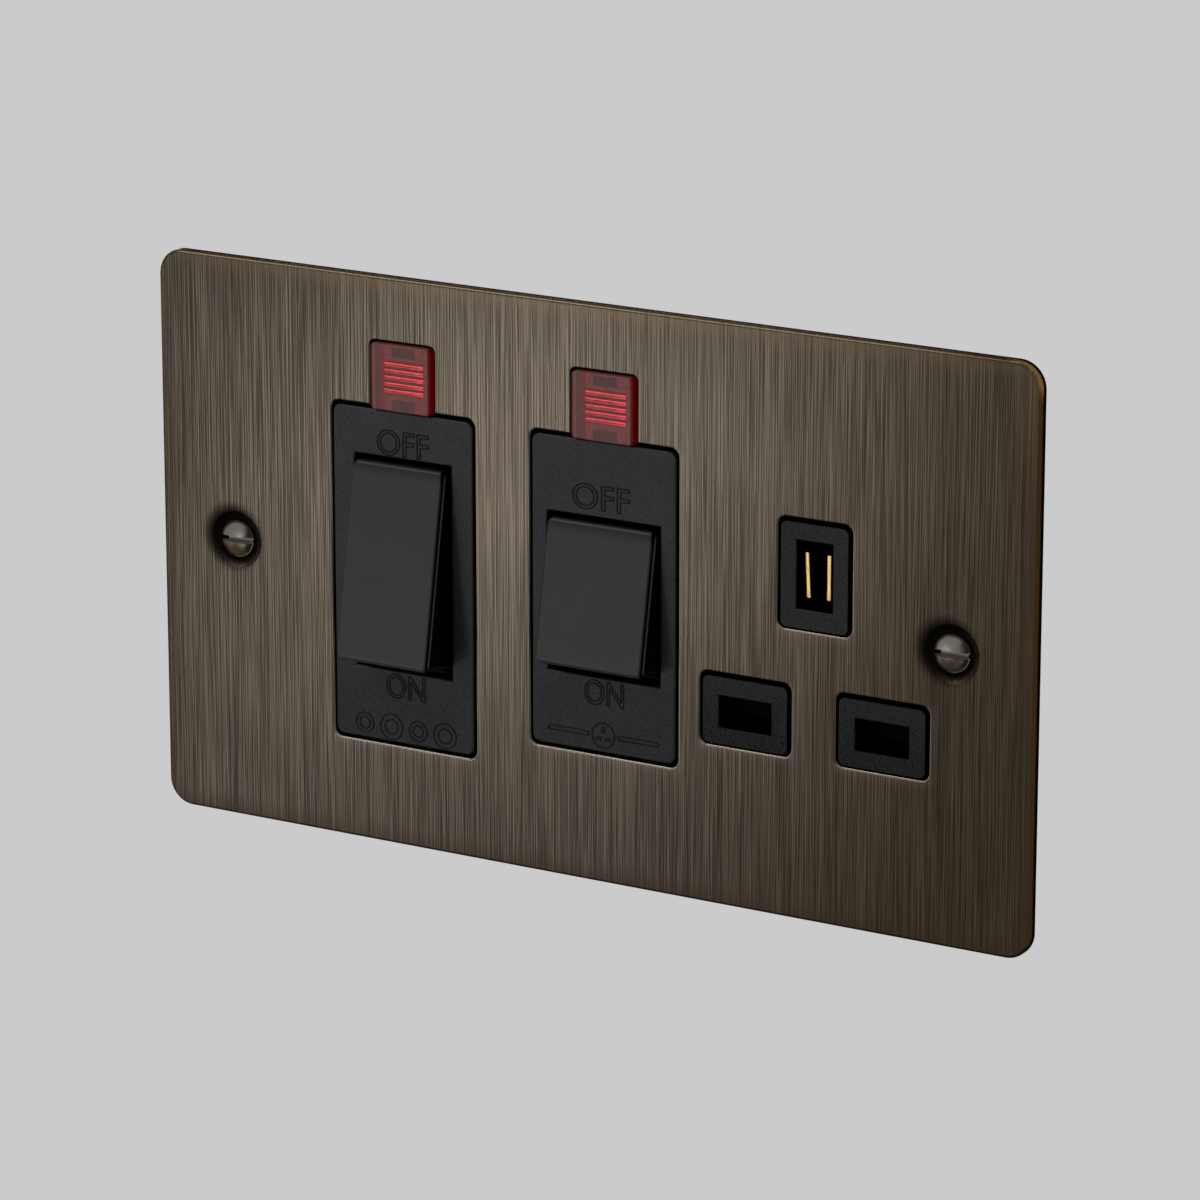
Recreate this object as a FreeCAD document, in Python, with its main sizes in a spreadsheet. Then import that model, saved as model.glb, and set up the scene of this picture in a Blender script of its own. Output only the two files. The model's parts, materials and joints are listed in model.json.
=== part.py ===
import FreeCAD, Part
import math
import os
import Sketcher

# Cooker control unit: a flat metal plate with a double-pole cooker switch on
# the left, a switched 13 A socket outlet on the right, a neon lamp over each
# switch, and the terminals, contacts and housing behind.
#
# Frame, in millimetres: X to the right along the plate, Z up, Y into the wall.
# The origin is the plate's centre on the wall's surface, so the plate and the
# rockers lie at negative Y and everything in the wall box at positive Y.
# Both switches are modelled at OFF: upper end pressed in, lower end out.

SIZES = {
    # Front plate and its gasket
    "plate_width": 147.0,
    "plate_height": 87.0,
    "plate_thick": 1.5,
    "plate_corner": 4.0,
    "plate_edge": 0.5,
    "opening_edge": 0.3,
    "gasket_thick": 0.8,
    "gasket_inset": 1.2,
    "gasket_gap": 0.4,
    "gasket_hole_play": 2.4,
    # Fixing screws and the soft dimples that they sit in
    "screw_spacing": 120.6,
    "screw_radius": 1.75,
    "screw_hole_radius": 1.95,
    "screw_length": 24.0,
    "screw_head_radius": 2.9,
    "screw_head_sink": 0.35,
    "screw_seat_play": 0.15,
    "screw_dome": 0.45,
    "screw_slot": 0.75,
    "dimple_radius": 4.4,
    "dimple_depth": 0.45,
    # Switch modules: places, plate openings and bezels
    "cooker_x": -30.6,
    "socket_x": 3.7,
    "opening_width": 24.8,
    "opening_corner": 1.3,
    "opening_head": 19.6,
    "cooker_foot": 15.5,
    "socket_foot": 19.6,
    "notch_width": 11.0,
    "notch_head": 9.7,
    "notch_corner": 0.8,
    "bezel_side_gap": 0.35,
    "bezel_end_gap": 0.5,
    "bezel_proud": 0.15,
    "bezel_edge": 0.3,
    "flange_thick": 2.0,
    "barrel_wall": 3.2,
    "barrel_depth": 8.0,
    # Neon lamps and their lenses
    "lens_side_gap": 0.25,
    "lens_foot_gap": 0.1,
    "lens_proud": 0.5,
    "lens_wall": 1.0,
    "lens_stem_inset": 0.4,
    "lens_stem_play": 0.1,
    "lens_stem_length": 3.0,
    "lamp_radius": 1.8,
    "lamp_gap": 0.3,
    # Rockers
    "cooker_recess_width": 16.8,
    "cooker_recess_share": 0.6841,
    "cooker_pivot_depth": 1.81,
    "cooker_face_reach": 5.6,
    "cooker_tilt": 10.2,
    "socket_recess_width": 19.0,
    "socket_recess_share": 0.5042,
    "socket_pivot_depth": 1.83,
    "socket_face_reach": 4.5,
    "socket_tilt": 10.4,
    "recess_lip": 1.2,
    "recess_relief": 0.45,
    "rocker_side_gap": 0.3,
    "rocker_end_gap": 0.15,
    "rocker_wall": 1.6,
    "rocker_back": 3.0,
    "rocker_corner": 1.2,
    "rocker_rim": 0.8,
    "trunnion_radius": 1.2,
    "trunnion_play": 0.06,
    "trunnion_length": 1.8,
    "trunnion_end_gap": 0.3,
    # Plungers, springs and see-saw contact arms
    "pole_offset": 4.2,
    "stem_radius": 2.6,
    "stem_back": 6.2,
    "plunger_radius": 1.55,
    "plunger_play": 0.15,
    "bore_floor": 0.6,
    "plunger_shoulder": 2.4,
    "spring_wire": 0.2,
    "spring_play": 0.12,
    "spring_pitch": 1.6,
    "arm_face": 10.9,
    "plunger_gap": 0.3,
    "arm_thick": 0.9,
    "arm_width": 4.6,
    "arm_pivot_rise": 1.3,
    "arm_boss_radius": 1.0,
    "arm_top": 9.3,
    "arm_bottom": 8.2,
    "arm_tilt": 7.0,
    "contact_height": 7.6,
    "contact_radius": 1.5,
    "contact_thick": 0.9,
    "contact_margin": 0.5,
    "contact_gap": 0.3,
    "arm_side_gap": 0.3,
    "cradle_gap": 0.25,
    "cradle_thick": 0.75,
    "cradle_rise": 1.6,
    "cradle_post_width": 3.6,
    # Terminals and the strips that join them
    "strip_front": 16.0,
    "strip_thick": 1.0,
    "strip_width": 5.0,
    "strip_step": 2.2,
    "link_width": 4.2,
    "bar_height": 3.0,
    "bar_gap": 1.5,
    "block_width": 9.0,
    "block_depth": 9.0,
    "block_height": 8.5,
    "block_offset": 6.0,
    "block_gap": 1.0,
    "block_wall": 0.7,
    "wire_radius": 2.6,
    "wire_bore_length": 7.0,
    "clamp_radius": 1.8,
    "clamp_play": 0.1,
    "clamp_length": 4.2,
    "clamp_bevel": 0.4,
    "clamp_gap": 0.15,
    # Socket outlet
    "earth_x": 38.4,
    "earth_share": 0.0943,
    "pin_pitch": 22.23,
    "live_share": 0.1586,
    "earth_open_width": 11.9,
    "earth_open_height": 16.45,
    "live_open_width": 14.9,
    "live_open_height": 10.95,
    "island_side_gap": 0.55,
    "island_top_gap": 0.6,
    "earth_slot_width": 5.95,
    "earth_slot_height": 10.2,
    "live_slot_width": 8.7,
    "live_slot_height": 4.85,
    "live_slot_drop": 0.3,
    "slot_lead": 0.12,
    "island_depth": 4.7,
    "island_margin": 0.5,
    "leaf_gap": 2.6,
    "leaf_thick": 0.65,
    "leaf_height": 6.6,
    "leaf_front": -1.0,
    "leaf_drop": 0.3,
    "leaf_lean": 0.35,
    "leaf_step": 9.0,
    "bridge_rise": 4.3,
    "bridge_thick": 0.8,
    "clip_gap": 3.6,
    "clip_thick": 0.7,
    "clip_width": 6.4,
    "clip_front": 7.0,
    # Shutter
    "shutter_front": 5.0,
    "shutter_thick": 1.5,
    "shutter_bar_height": 6.7,
    "shutter_bar_half": 17.3,
    "shutter_stem_width": 4.8,
    "shutter_travel": 6.2,
    "shutter_play": 0.3,
    "shutter_lap": 0.7,
    "shutter_rim": 1.4,
    "shutter_ring_gap": 0.6,
    "shutter_coil": 0.75,
    "shutter_spring_pitch": 2.4,
    "ramp_width": 2.4,
    "ramp_length": 9.0,
    "ramp_land": 1.0,
    # Rear housing and its screws
    "body_left": 52.0,
    "body_right": 59.0,
    "body_head": 7.5,
    "body_foot": 10.5,
    "body_back": 23.0,
    "back_wall": 2.0,
    "body_wall": 1.4,
    "module_gap": 0.6,
    "lug_depth": 5.0,
    "lug_half": 6.0,
    "pillar_left": 47.4,
    "pillar_right": 53.5,
    "pillar_foot": 5.0,
    "pillar_radius": 2.6,
    "pillar_gap": 0.4,
    "pillar_floor": 1.0,
    "housing_screw_radius": 1.4,
    "housing_screw_play": 0.1,
    "housing_screw_head": 2.6,
    "housing_screw_length": 13.0,
    "counterbore_depth": 1.2,
    "head_bevel": 0.6,
    "shell_round": 1.0,
    "back_rim": 1.6,
    "back_relief": 0.5,
    "collar_wall": 0.9,
    "back_rib": 1.0,
    "entry_margin": 0.8,
    "access_play": 0.5,
}

doc = FreeCAD.newDocument("cooker_control_unit")
sheet = doc.addObject("Spreadsheet::Sheet", "dims")
for line, (alias, number) in enumerate(SIZES.items(), start=1):
    sheet.set(f"A{line}", alias)
    sheet.set(f"B{line}", str(number))
    sheet.setAlias(f"B{line}", alias)
doc.recompute()


class Size:
    """A length or angle kept both as a formula over the sheet's cells and as its present value."""

    def __init__(self, text, value):
        self.text = text
        self.value = float(value)

    def __add__(self, other):
        other = as_size(other)
        return Size(f"({self.text} + {other.text})", self.value + other.value)

    def __sub__(self, other):
        other = as_size(other)
        return Size(f"({self.text} - {other.text})", self.value - other.value)

    def __mul__(self, other):
        other = as_size(other)
        return Size(f"({self.text} * {other.text})", self.value * other.value)

    def __truediv__(self, other):
        other = as_size(other)
        return Size(f"({self.text} / {other.text})", self.value / other.value)

    def __neg__(self):
        return Size(f"(0 - {self.text})", -self.value)

    def __radd__(self, other):
        return as_size(other) + self

    def __rsub__(self, other):
        return as_size(other) - self

    def __rmul__(self, other):
        return as_size(other) * self


def as_size(thing):
    if isinstance(thing, Size):
        return thing
    return Size(f"({thing})", thing)


def dim(alias):
    return Size(f"dims.{alias}", sheet.get(alias))


def root(size):
    return Size(f"sqrt({size.text})", math.sqrt(size.value))


def sine(angle):
    return Size(f"sin({angle.text})", math.sin(math.radians(angle.value)))


def bind(feature, name, size):
    """Tie a property to the sheet's cells."""
    feature.setExpression(name, size.text)


# Sketches: each lies in one of its body's own planes, moved along the plane's normal

def body_named(label):
    return doc.addObject("PartDesign::Body", label)


def sketch_in(body, role, name, along):
    sketch = body.newObject("Sketcher::SketchObject", name)
    plane = next(item for item in body.Origin.OriginFeatures if item.Role == role)
    sketch.AttachmentSupport = [(plane, "")]
    sketch.MapMode = "FlatFace"
    sketch.AttachmentOffset = FreeCAD.Placement(FreeCAD.Vector(0, 0, along.value), FreeCAD.Rotation())
    bind(sketch, "AttachmentOffset.Base.z", along)
    return sketch


def front_sketch(body, name, depth):
    """Sketch facing the room at a depth Y; its axes are X and Z."""
    return sketch_in(body, "XZ_Plane", name, -as_size(depth))


def side_sketch(body, name, across=0.0):
    """Sketch seen from the right at a place X; its axes are Y and Z."""
    return sketch_in(body, "YZ_Plane", name, as_size(across))


def plan_sketch(body, name, height=0.0):
    """Sketch seen from above at a height Z; its axes are X and Y."""
    return sketch_in(body, "XY_Plane", name, as_size(height))


def pin_point(sketch, geometry, end, place, name):
    """Fix a point by its two distances from the sketch's origin."""
    for axis, kind, size in (("x", "DistanceX", place[0]), ("y", "DistanceY", place[1])):
        size = as_size(size)
        number = sketch.addConstraint(Sketcher.Constraint(kind, -1, 1, geometry, end, size.value))
        sketch.renameConstraint(number, f"{name}_{axis}")
        bind(sketch, f"Constraints.{name}_{axis}", size)


def pin_radius(sketch, geometry, radius, name):
    number = sketch.addConstraint(Sketcher.Constraint("Radius", geometry, radius.value))
    sketch.renameConstraint(number, name)
    bind(sketch, f"Constraints.{name}", radius)


def circle(sketch, x, y, radius):
    radius = as_size(radius)
    centre = FreeCAD.Vector(as_size(x).value, as_size(y).value, 0)
    number = sketch.addGeometry(Part.Circle(centre, FreeCAD.Vector(0, 0, 1), radius.value), False)
    pin_point(sketch, number, 3, (x, y), f"centre_{number}")
    pin_radius(sketch, number, radius, f"radius_{number}")


def arc_between(start, end, radius, turn):
    """Arc from start to end; turn is 1 for one that runs anticlockwise and -1 for clockwise."""
    chord = end - start
    middle = (start + end) * 0.5
    rise = math.sqrt(max(radius * radius - chord.Length ** 2 / 4, 0.0))
    side = FreeCAD.Vector(-chord.y, chord.x, 0).normalize()
    centre = middle + side * rise * turn
    first, last = (start, end) if turn > 0 else (end, start)
    angles = [math.atan2(point.y - centre.y, point.x - centre.x) for point in (first, last)]
    ring = Part.Circle(centre, FreeCAD.Vector(0, 0, 1), radius)
    return Part.ArcOfCircle(ring, angles[0], angles[1] + (2 * math.pi if angles[1] < angles[0] else 0))


def outline(sketch, corners, arcs=None):
    """Closed outline through corners; arcs gives a radius and a turn for the stretch after a corner."""
    arcs = arcs or {}
    first = sketch.GeometryCount
    points = [FreeCAD.Vector(as_size(x).value, as_size(y).value, 0) for x, y in corners]
    ends = []
    for index, start in enumerate(points):
        end = points[(index + 1) % len(points)]
        if index in arcs:
            radius, turn = arcs[index]
            number = sketch.addGeometry(arc_between(start, end, radius.value, turn), False)
            ends.append((number, 1, 2) if turn > 0 else (number, 2, 1))
        else:
            number = sketch.addGeometry(Part.LineSegment(start, end), False)
            ends.append((number, 1, 2))
    for index, (number, start, end) in enumerate(ends):
        after, after_start, after_end = ends[(index + 1) % len(ends)]
        sketch.addConstraint(Sketcher.Constraint("Coincident", number, end, after, after_start))
    for index, (number, start, end) in enumerate(ends):
        pin_point(sketch, number, start, corners[index], f"corner_{first + index}")
        if index in arcs:
            pin_radius(sketch, number, arcs[index][0], f"arc_{first + index}")


def rectangle(sketch, left, bottom, right, top):
    outline(sketch, [(left, bottom), (right, bottom), (right, top), (left, top)])


def rounded(sketch, left, bottom, right, top, radius):
    corners = [
        (left + radius, bottom), (right - radius, bottom), (right, bottom + radius), (right, top - radius),
        (right - radius, top), (left + radius, top), (left, top - radius), (left, bottom + radius),
    ]
    outline(sketch, corners, {1: (radius, 1), 3: (radius, 1), 5: (radius, 1), 7: (radius, 1)})


# Features

def pad(body, sketch, length, name, both_ways=False):
    feature = body.newObject("PartDesign::Pad", name)
    feature.Profile = sketch
    bind(feature, "Length", as_size(length))
    feature.SideType = "Symmetric" if both_ways else "One side"
    return feature


def pocket(body, sketch, length, name, both_ways=False, backwards=False):
    feature = body.newObject("PartDesign::Pocket", name)
    feature.Profile = sketch
    bind(feature, "Length", as_size(length))
    feature.SideType = "Symmetric" if both_ways else "One side"
    feature.Reversed = backwards
    return feature


def turned(body, sketch, name, kind="Revolution", axis="V_Axis"):
    feature = body.newObject(f"PartDesign::{kind}", name)
    feature.Profile = sketch
    feature.ReferenceAxis = (sketch, [axis])
    feature.Angle = 360.0
    return feature


def slab(body, name, front, back, draw):
    """Solid between two depths, drawn as seen from the room."""
    sketch = front_sketch(body, f"{name}_outline", back)
    draw(sketch)
    return pad(body, sketch, as_size(back) - front, name)


def cut(body, name, front, back, draw):
    """Opening between two depths, drawn as seen from the room."""
    sketch = front_sketch(body, f"{name}_outline", front)
    draw(sketch)
    return pocket(body, sketch, as_size(back) - front, name)


def soften(body, name, radius, wanted, kind="Fillet"):
    """Round or bevel those edges of the body's last feature that the test picks."""
    doc.recompute()
    base = body.Tip
    edges = [f"Edge{n}" for n, edge in enumerate(base.Shape.Edges, start=1) if wanted(edge)]
    feature = body.newObject(f"PartDesign::{kind}", name)
    feature.Base = (base, edges)
    bind(feature, "Radius" if kind == "Fillet" else "Size", as_size(radius))
    return feature


def mirrored(body, features, name, role="YZ_Plane"):
    feature = body.newObject("PartDesign::Mirrored", name)
    feature.Originals = features
    feature.MirrorPlane = (next(item for item in body.Origin.OriginFeatures if item.Role == role), [""])
    body.Tip = feature
    return feature


def lies_at(edge, axis, place, slack=1e-4):
    """True if the whole edge lies in the plane at this place on the axis."""
    low = getattr(edge.BoundBox, f"{axis}Min")
    high = getattr(edge.BoundBox, f"{axis}Max")
    return abs(low - place) < slack and abs(high - place) < slack


def inside(edge, left, right, bottom, top):
    """True if the edge lies within these limits of X and Z."""
    box = edge.BoundBox
    return box.XMin > left and box.XMax < right and box.ZMin > bottom and box.ZMax < top


# How far a cutting profile runs past the face that it opens
OVERRUN = 1.0

# Depths that many pieces share
plate_back = -dim("gasket_thick")
plate_front = plate_back - dim("plate_thick")
bezel_front = plate_front - dim("bezel_proud")
flange_back = plate_back + dim("flange_thick")
strip_front = dim("strip_front")
strip_back = strip_front + dim("strip_thick")
wall_front = dim("body_back") - dim("back_wall")
arm_pivot = dim("arm_face") + dim("arm_pivot_rise")
contact_face = (
    arm_pivot - dim("arm_pivot_rise") + dim("arm_thick") + dim("contact_thick")
    + dim("contact_height") * sine(dim("arm_tilt")) + dim("contact_gap")
)

# Heights that follow the plate's height
plate_edge_height = dim("plate_height") / 2
opening_top = plate_edge_height - dim("opening_head")
notch_top = plate_edge_height - dim("notch_head")
body_top = plate_edge_height - dim("body_head")
body_bottom = plate_edge_height - dim("body_foot")
earth_z = dim("plate_height") * dim("earth_share")
live_z = -dim("plate_height") * dim("live_share")
pillar_height = body_bottom - dim("pillar_foot")
block_start = body_bottom - dim("body_wall") - dim("block_gap") - dim("block_height")


class Module:
    """One switch module: its place, its plate opening, its recess and its rocker."""

    def __init__(self, name):
        self.name = name
        self.x = dim(f"{name}_x")
        self.rise = opening_top
        self.drop = plate_edge_height - dim(f"{name}_foot")
        self.recess_half_width = dim(f"{name}_recess_width") / 2
        self.recess_half_height = opening_top * dim(f"{name}_recess_share")
        self.pivot = bezel_front + dim(f"{name}_pivot_depth")
        self.reach = dim(f"{name}_face_reach")
        self.tilt = dim(f"{name}_tilt")
        self.rocker_radius = self.recess_half_height - dim("rocker_end_gap")
        self.rocker_half_width = self.recess_half_width - dim("rocker_side_gap")
        self.trunnion_end = self.rocker_half_width + dim("trunnion_length")

    def poles(self):
        return (("line", self.x - dim("pole_offset")), ("neutral", self.x + dim("pole_offset")))


COOKER = Module("cooker")
SOCKET = Module("socket")
PIN_HALF_PITCH = dim("pin_pitch") / 2
LINE_X = dim("earth_x") + PIN_HALF_PITCH
NEUTRAL_X = dim("earth_x") - PIN_HALF_PITCH
PILLARS = (
    ("upper_left", -dim("pillar_left"), pillar_height),
    ("lower_left", -dim("pillar_left"), -pillar_height),
    ("upper_right", dim("pillar_right"), pillar_height),
    ("lower_right", dim("pillar_right"), -pillar_height),
)


# Front plate

def make_front_plate():
    body = body_named("front_plate")
    half_width = dim("plate_width") / 2
    half_height = plate_edge_height
    slab(body, "sheet", plate_front, plate_back,
         lambda s: rounded(s, -half_width, -half_height, half_width, half_height, dim("plate_corner")))
    soften(body, "front_edge", dim("plate_edge"), lambda e: lies_at(e, "Y", plate_front.value))
    corner = dim("opening_corner")
    for module in (COOKER, SOCKET):
        half = dim("opening_width") / 2
        cut(body, f"{module.name}_opening", plate_front, plate_back,
            lambda s: rounded(s, module.x - half, -module.drop, module.x + half, module.rise, corner))
        notch = dim("notch_width") / 2
        cut(body, f"{module.name}_notch", plate_front, plate_back,
            lambda s: rounded(s, module.x - notch, module.rise - 2 * corner,
                              module.x + notch, notch_top, dim("notch_corner")))
    half = dim("earth_open_width") / 2
    rise = dim("earth_open_height") / 2
    cut(body, "earth_opening", plate_front, plate_back,
        lambda s: rounded(s, dim("earth_x") - half, earth_z - rise,
                          dim("earth_x") + half, earth_z + rise, corner))
    half = dim("live_open_width") / 2
    rise = dim("live_open_height") / 2
    for name, x in (("line", LINE_X), ("neutral", NEUTRAL_X)):
        cut(body, f"{name}_opening", plate_front, plate_back,
            lambda s: rounded(s, x - half, live_z - rise, x + half, live_z + rise, corner))
    soften(body, "opening_edges", dim("opening_edge"), lambda e: lies_at(e, "Y", plate_front.value) and inside(
        e, -half_width.value / 1.2, half_width.value / 1.2, -half_height.value / 1.2, half_height.value / 1.2))
    dimple = plan_sketch(body, "dimple_profile")
    screw_x = dim("screw_spacing") / 2
    bind(dimple, "AttachmentOffset.Base.x", screw_x)
    lip = dim("dimple_radius")
    seat = dim("screw_head_radius") + dim("screw_seat_play")
    hole = dim("screw_hole_radius")
    outline(dimple, [
        (0, plate_front - OVERRUN), (lip, plate_front - OVERRUN), (lip, plate_front),
        (seat, plate_front + dim("dimple_depth")), (hole, plate_front + dim("dimple_depth") + seat - hole),
        (hole, plate_back + OVERRUN), (0, plate_back + OVERRUN),
    ], {2: (dim("dimple_radius") - dim("screw_head_radius"), 1)})
    groove = turned(body, dimple, "screw_dimple", "Groove")
    mirrored(body, [groove], "both_dimples")
    slab(body, "pillars", plate_back, strip_front, lambda s: [
        circle(s, x, z, dim("pillar_radius")) for name, x, z in PILLARS])
    bore = front_sketch(body, "pillar_bores_outline", strip_front)
    for name, x, z in PILLARS:
        circle(bore, x, z, dim("housing_screw_radius") + dim("housing_screw_play"))
    pocket(body, bore, strip_front - plate_back - dim("pillar_floor"), "pillar_bores", backwards=True)
    return body


def make_gasket():
    body = body_named("wall_gasket")
    half_width = dim("plate_width") / 2 - dim("gasket_inset")
    half_height = plate_edge_height - dim("gasket_inset")
    gap = dim("gasket_gap")

    def ring(sketch):
        rounded(sketch, -half_width, -half_height, half_width, half_height, dim("plate_corner"))
        rectangle(sketch, -dim("body_left") - gap, -body_bottom - gap, dim("body_right") + gap, body_top + gap)

    slab(body, "ring", plate_back, 0, ring)
    screw_x = dim("screw_spacing") / 2
    cut(body, "screw_holes", plate_back, 0, lambda s: [
        circle(s, screw_x * sign, 0, dim("screw_hole_radius") + dim("gasket_hole_play")) for sign in (-1, 1)])
    return body


def make_fixing_screw(side, sign):
    body = body_named(f"fixing_screw_{side}")
    profile = plan_sketch(body, "profile")
    bind(profile, "AttachmentOffset.Base.x", dim("screw_spacing") / 2 * sign)
    rim = plate_front + dim("screw_head_sink")
    head = dim("screw_head_radius")
    shank = dim("screw_radius")
    dome = dim("screw_dome")
    cap = (head * head + dome * dome) / (2 * dome)
    outline(profile, [
        (0, rim - dome), (head, rim), (shank, rim + head - shank),
        (shank, rim + dim("screw_length")), (0, rim + dim("screw_length")),
    ], {0: (cap, 1)})
    turned(body, profile, "turned_blank")
    half_slot = dim("screw_slot") / 2
    centre = dim("screw_spacing") / 2 * sign
    cut(body, "slot", rim - dome - OVERRUN, rim + dim("screw_slot"),
        lambda s: rectangle(s, centre - 2 * head, -half_slot, centre + 2 * head, half_slot))
    return body


# Switch fronts: bezel, recess, barrel and flange in one moulding

def add_switch_front(body, module):
    """Bezel in the plate's opening and the barrel that carries the rocker."""
    side = dim("opening_width") / 2 - dim("bezel_side_gap")
    top = module.rise - dim("bezel_end_gap")
    bottom = -module.drop + dim("bezel_end_gap")
    name = module.name
    slab(body, f"{name}_bezel", bezel_front, flange_back,
         lambda s: rounded(s, module.x - side, bottom, module.x + side, top, dim("opening_corner")))
    wall = dim("barrel_wall")
    relief = dim("recess_relief")
    reach = module.recess_half_height + relief + wall
    slab(body, f"{name}_barrel", flange_back, flange_back + dim("barrel_depth"),
         lambda s: rounded(s, module.x - side, -reach, module.x + side, reach, dim("opening_corner")))
    half_width = module.recess_half_width
    half_height = module.recess_half_height
    cut(body, f"{name}_recess", bezel_front, flange_back + dim("barrel_depth"),
        lambda s: rectangle(s, module.x - half_width, -half_height, module.x + half_width, half_height))
    relief_height = half_height + relief
    cut(body, f"{name}_relief", bezel_front + dim("recess_lip"), flange_back + dim("barrel_depth"),
        lambda s: rectangle(s, module.x - half_width, -relief_height, module.x + half_width, relief_height))
    hole = side_sketch(body, f"{name}_trunnion_outline", module.x)
    circle(hole, module.pivot, 0, dim("trunnion_radius") + dim("trunnion_play"))
    pocket(body, hole, 2 * (module.trunnion_end + dim("trunnion_end_gap")), f"{name}_trunnion_holes", True)
    left, low, right, high = lens_stem(module, as_size(0))
    cut(body, f"{name}_lens_window", plate_back, flange_back,
        lambda s: rectangle(s, left, low, right, high))


def soften_front(body, module):
    """Round the bezel's outer edge and the recess's edge on the face."""
    half = dim("opening_width").value / 2
    limits = (module.x.value - half, module.x.value + half, -module.drop.value, module.rise.value)
    soften(body, f"{module.name}_bezel_edge", dim("bezel_edge"),
           lambda e: lies_at(e, "Y", bezel_front.value) and inside(e, *limits))


def add_pillar_clearances(body, wanted):
    clear = dim("pillar_radius") + dim("pillar_gap")

    def holes(sketch):
        for name, x, z in PILLARS:
            if wanted in name:
                circle(sketch, x, z, clear)

    cut(body, "pillar_clearances", plate_back, flange_back, holes)


def make_cooker_front():
    body = body_named("cooker_switch_front")
    right = (COOKER.x + SOCKET.x) / 2 - dim("module_gap") / 2
    slab(body, "flange", plate_back, flange_back,
         lambda s: rectangle(s, -dim("body_left"), -body_bottom, right, body_top))
    add_switch_front(body, COOKER)
    add_pillar_clearances(body, "left")
    soften_front(body, COOKER)
    return body


def island(sketch, x, z, width, height):
    """Face of a pin island: close to the opening's sides and foot, a little lower than its top."""
    half = width / 2 - dim("island_side_gap")
    bottom = z - height / 2 + dim("island_top_gap") / 2
    top = z + height / 2 - dim("island_top_gap")
    rounded(sketch, x - half, bottom, x + half, top, dim("opening_corner") - dim("bezel_side_gap"))


def make_socket_front():
    body = body_named("socket_front")
    left = (COOKER.x + SOCKET.x) / 2 + dim("module_gap") / 2
    right = dim("body_right")
    notch = right - dim("lug_depth")
    lug = dim("lug_half")
    low = -body_bottom
    high = body_top
    slab(body, "flange", plate_back, flange_back, lambda s: outline(s, [
        (left, low), (right, low), (right, -lug), (notch, -lug),
        (notch, lug), (right, lug), (right, high), (left, high)]))
    add_switch_front(body, SOCKET)
    earth_x = dim("earth_x")
    islands = [
        ("earth", earth_x, earth_z, dim("earth_open_width"), dim("earth_open_height")),
        ("line", LINE_X, live_z, dim("live_open_width"), dim("live_open_height")),
        ("neutral", NEUTRAL_X, live_z, dim("live_open_width"), dim("live_open_height")),
    ]
    for name, x, z, width, height in islands:
        slab(body, f"{name}_island", bezel_front, flange_back,
             lambda s: island(s, x, z, width, height))
        margin = dim("island_margin")
        slab(body, f"{name}_pad", flange_back, dim("island_depth"),
             lambda s: rectangle(s, x - width / 2 - margin, z - height / 2 - margin,
                                 x + width / 2 + margin, z + height / 2 + margin))
    add_pillar_clearances(body, "right")
    slots = [
        ("earth", earth_x, earth_z, dim("earth_slot_width") / 2, dim("earth_slot_height") / 2),
        ("line", LINE_X, live_z - dim("live_slot_drop"), dim("live_slot_width") / 2, dim("live_slot_height") / 2),
        ("neutral", NEUTRAL_X, live_z - dim("live_slot_drop"), dim("live_slot_width") / 2, dim("live_slot_height") / 2),
    ]
    for name, x, z, half, rise in slots:
        cut(body, f"{name}_slot", bezel_front, dim("island_depth"),
            lambda s: rectangle(s, x - half, z - rise, x + half, z + rise))
    add_shutter_guides(body)
    soften_front(body, SOCKET)
    for name, x, z, half, rise in slots:
        limits = (x.value - half.value - 0.1, x.value + half.value + 0.1,
                  z.value - rise.value - 0.1, z.value + rise.value + 0.1)
        soften(body, f"{name}_slot_lead", dim("slot_lead"),
               lambda e: lies_at(e, "Y", bezel_front.value) and inside(e, *limits), "Chamfer")
    return body


def add_shutter_guides(body):
    """Two rails beside the shutter's stem and the shelf that its spring stands on."""
    stem = dim("shutter_stem_width") / 2 + dim("shutter_play")
    x = dim("earth_x")
    rail = dim("body_wall")
    top = shutter_ring_foot() - dim("shutter_travel") - dim("shutter_play")
    bottom = live_z + dim("live_open_height") / 2
    for side, sign in (("left", -1), ("right", 1)):
        near, far = x + stem * sign, x + (stem + rail) * sign
        low, high = (far, near) if sign < 0 else (near, far)
        slab(body, f"rail_{side}", flange_back, dim("shutter_front") + dim("shutter_thick"),
             lambda s: rectangle(s, low, bottom, high, top))
    shelf_top = spring_shelf_top()
    slab(body, "spring_shelf", flange_back, dim("shutter_front") + dim("shutter_thick") + rail,
         lambda s: rectangle(s, x - stem, shelf_top - rail, x + stem, shelf_top))


# Rockers, drawn upright about their pivot and then tilted to OFF

def place_on_pivot(body, x, depth, tilt, sign):
    body.Placement = FreeCAD.Placement(
        FreeCAD.Vector(x.value, depth.value, 0),
        FreeCAD.Rotation(FreeCAD.Vector(sign, 0, 0), tilt.value))
    bind(body, "Placement.Base.x", x)
    bind(body, "Placement.Base.y", depth)
    bind(body, "Placement.Rotation.Angle", tilt)


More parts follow.
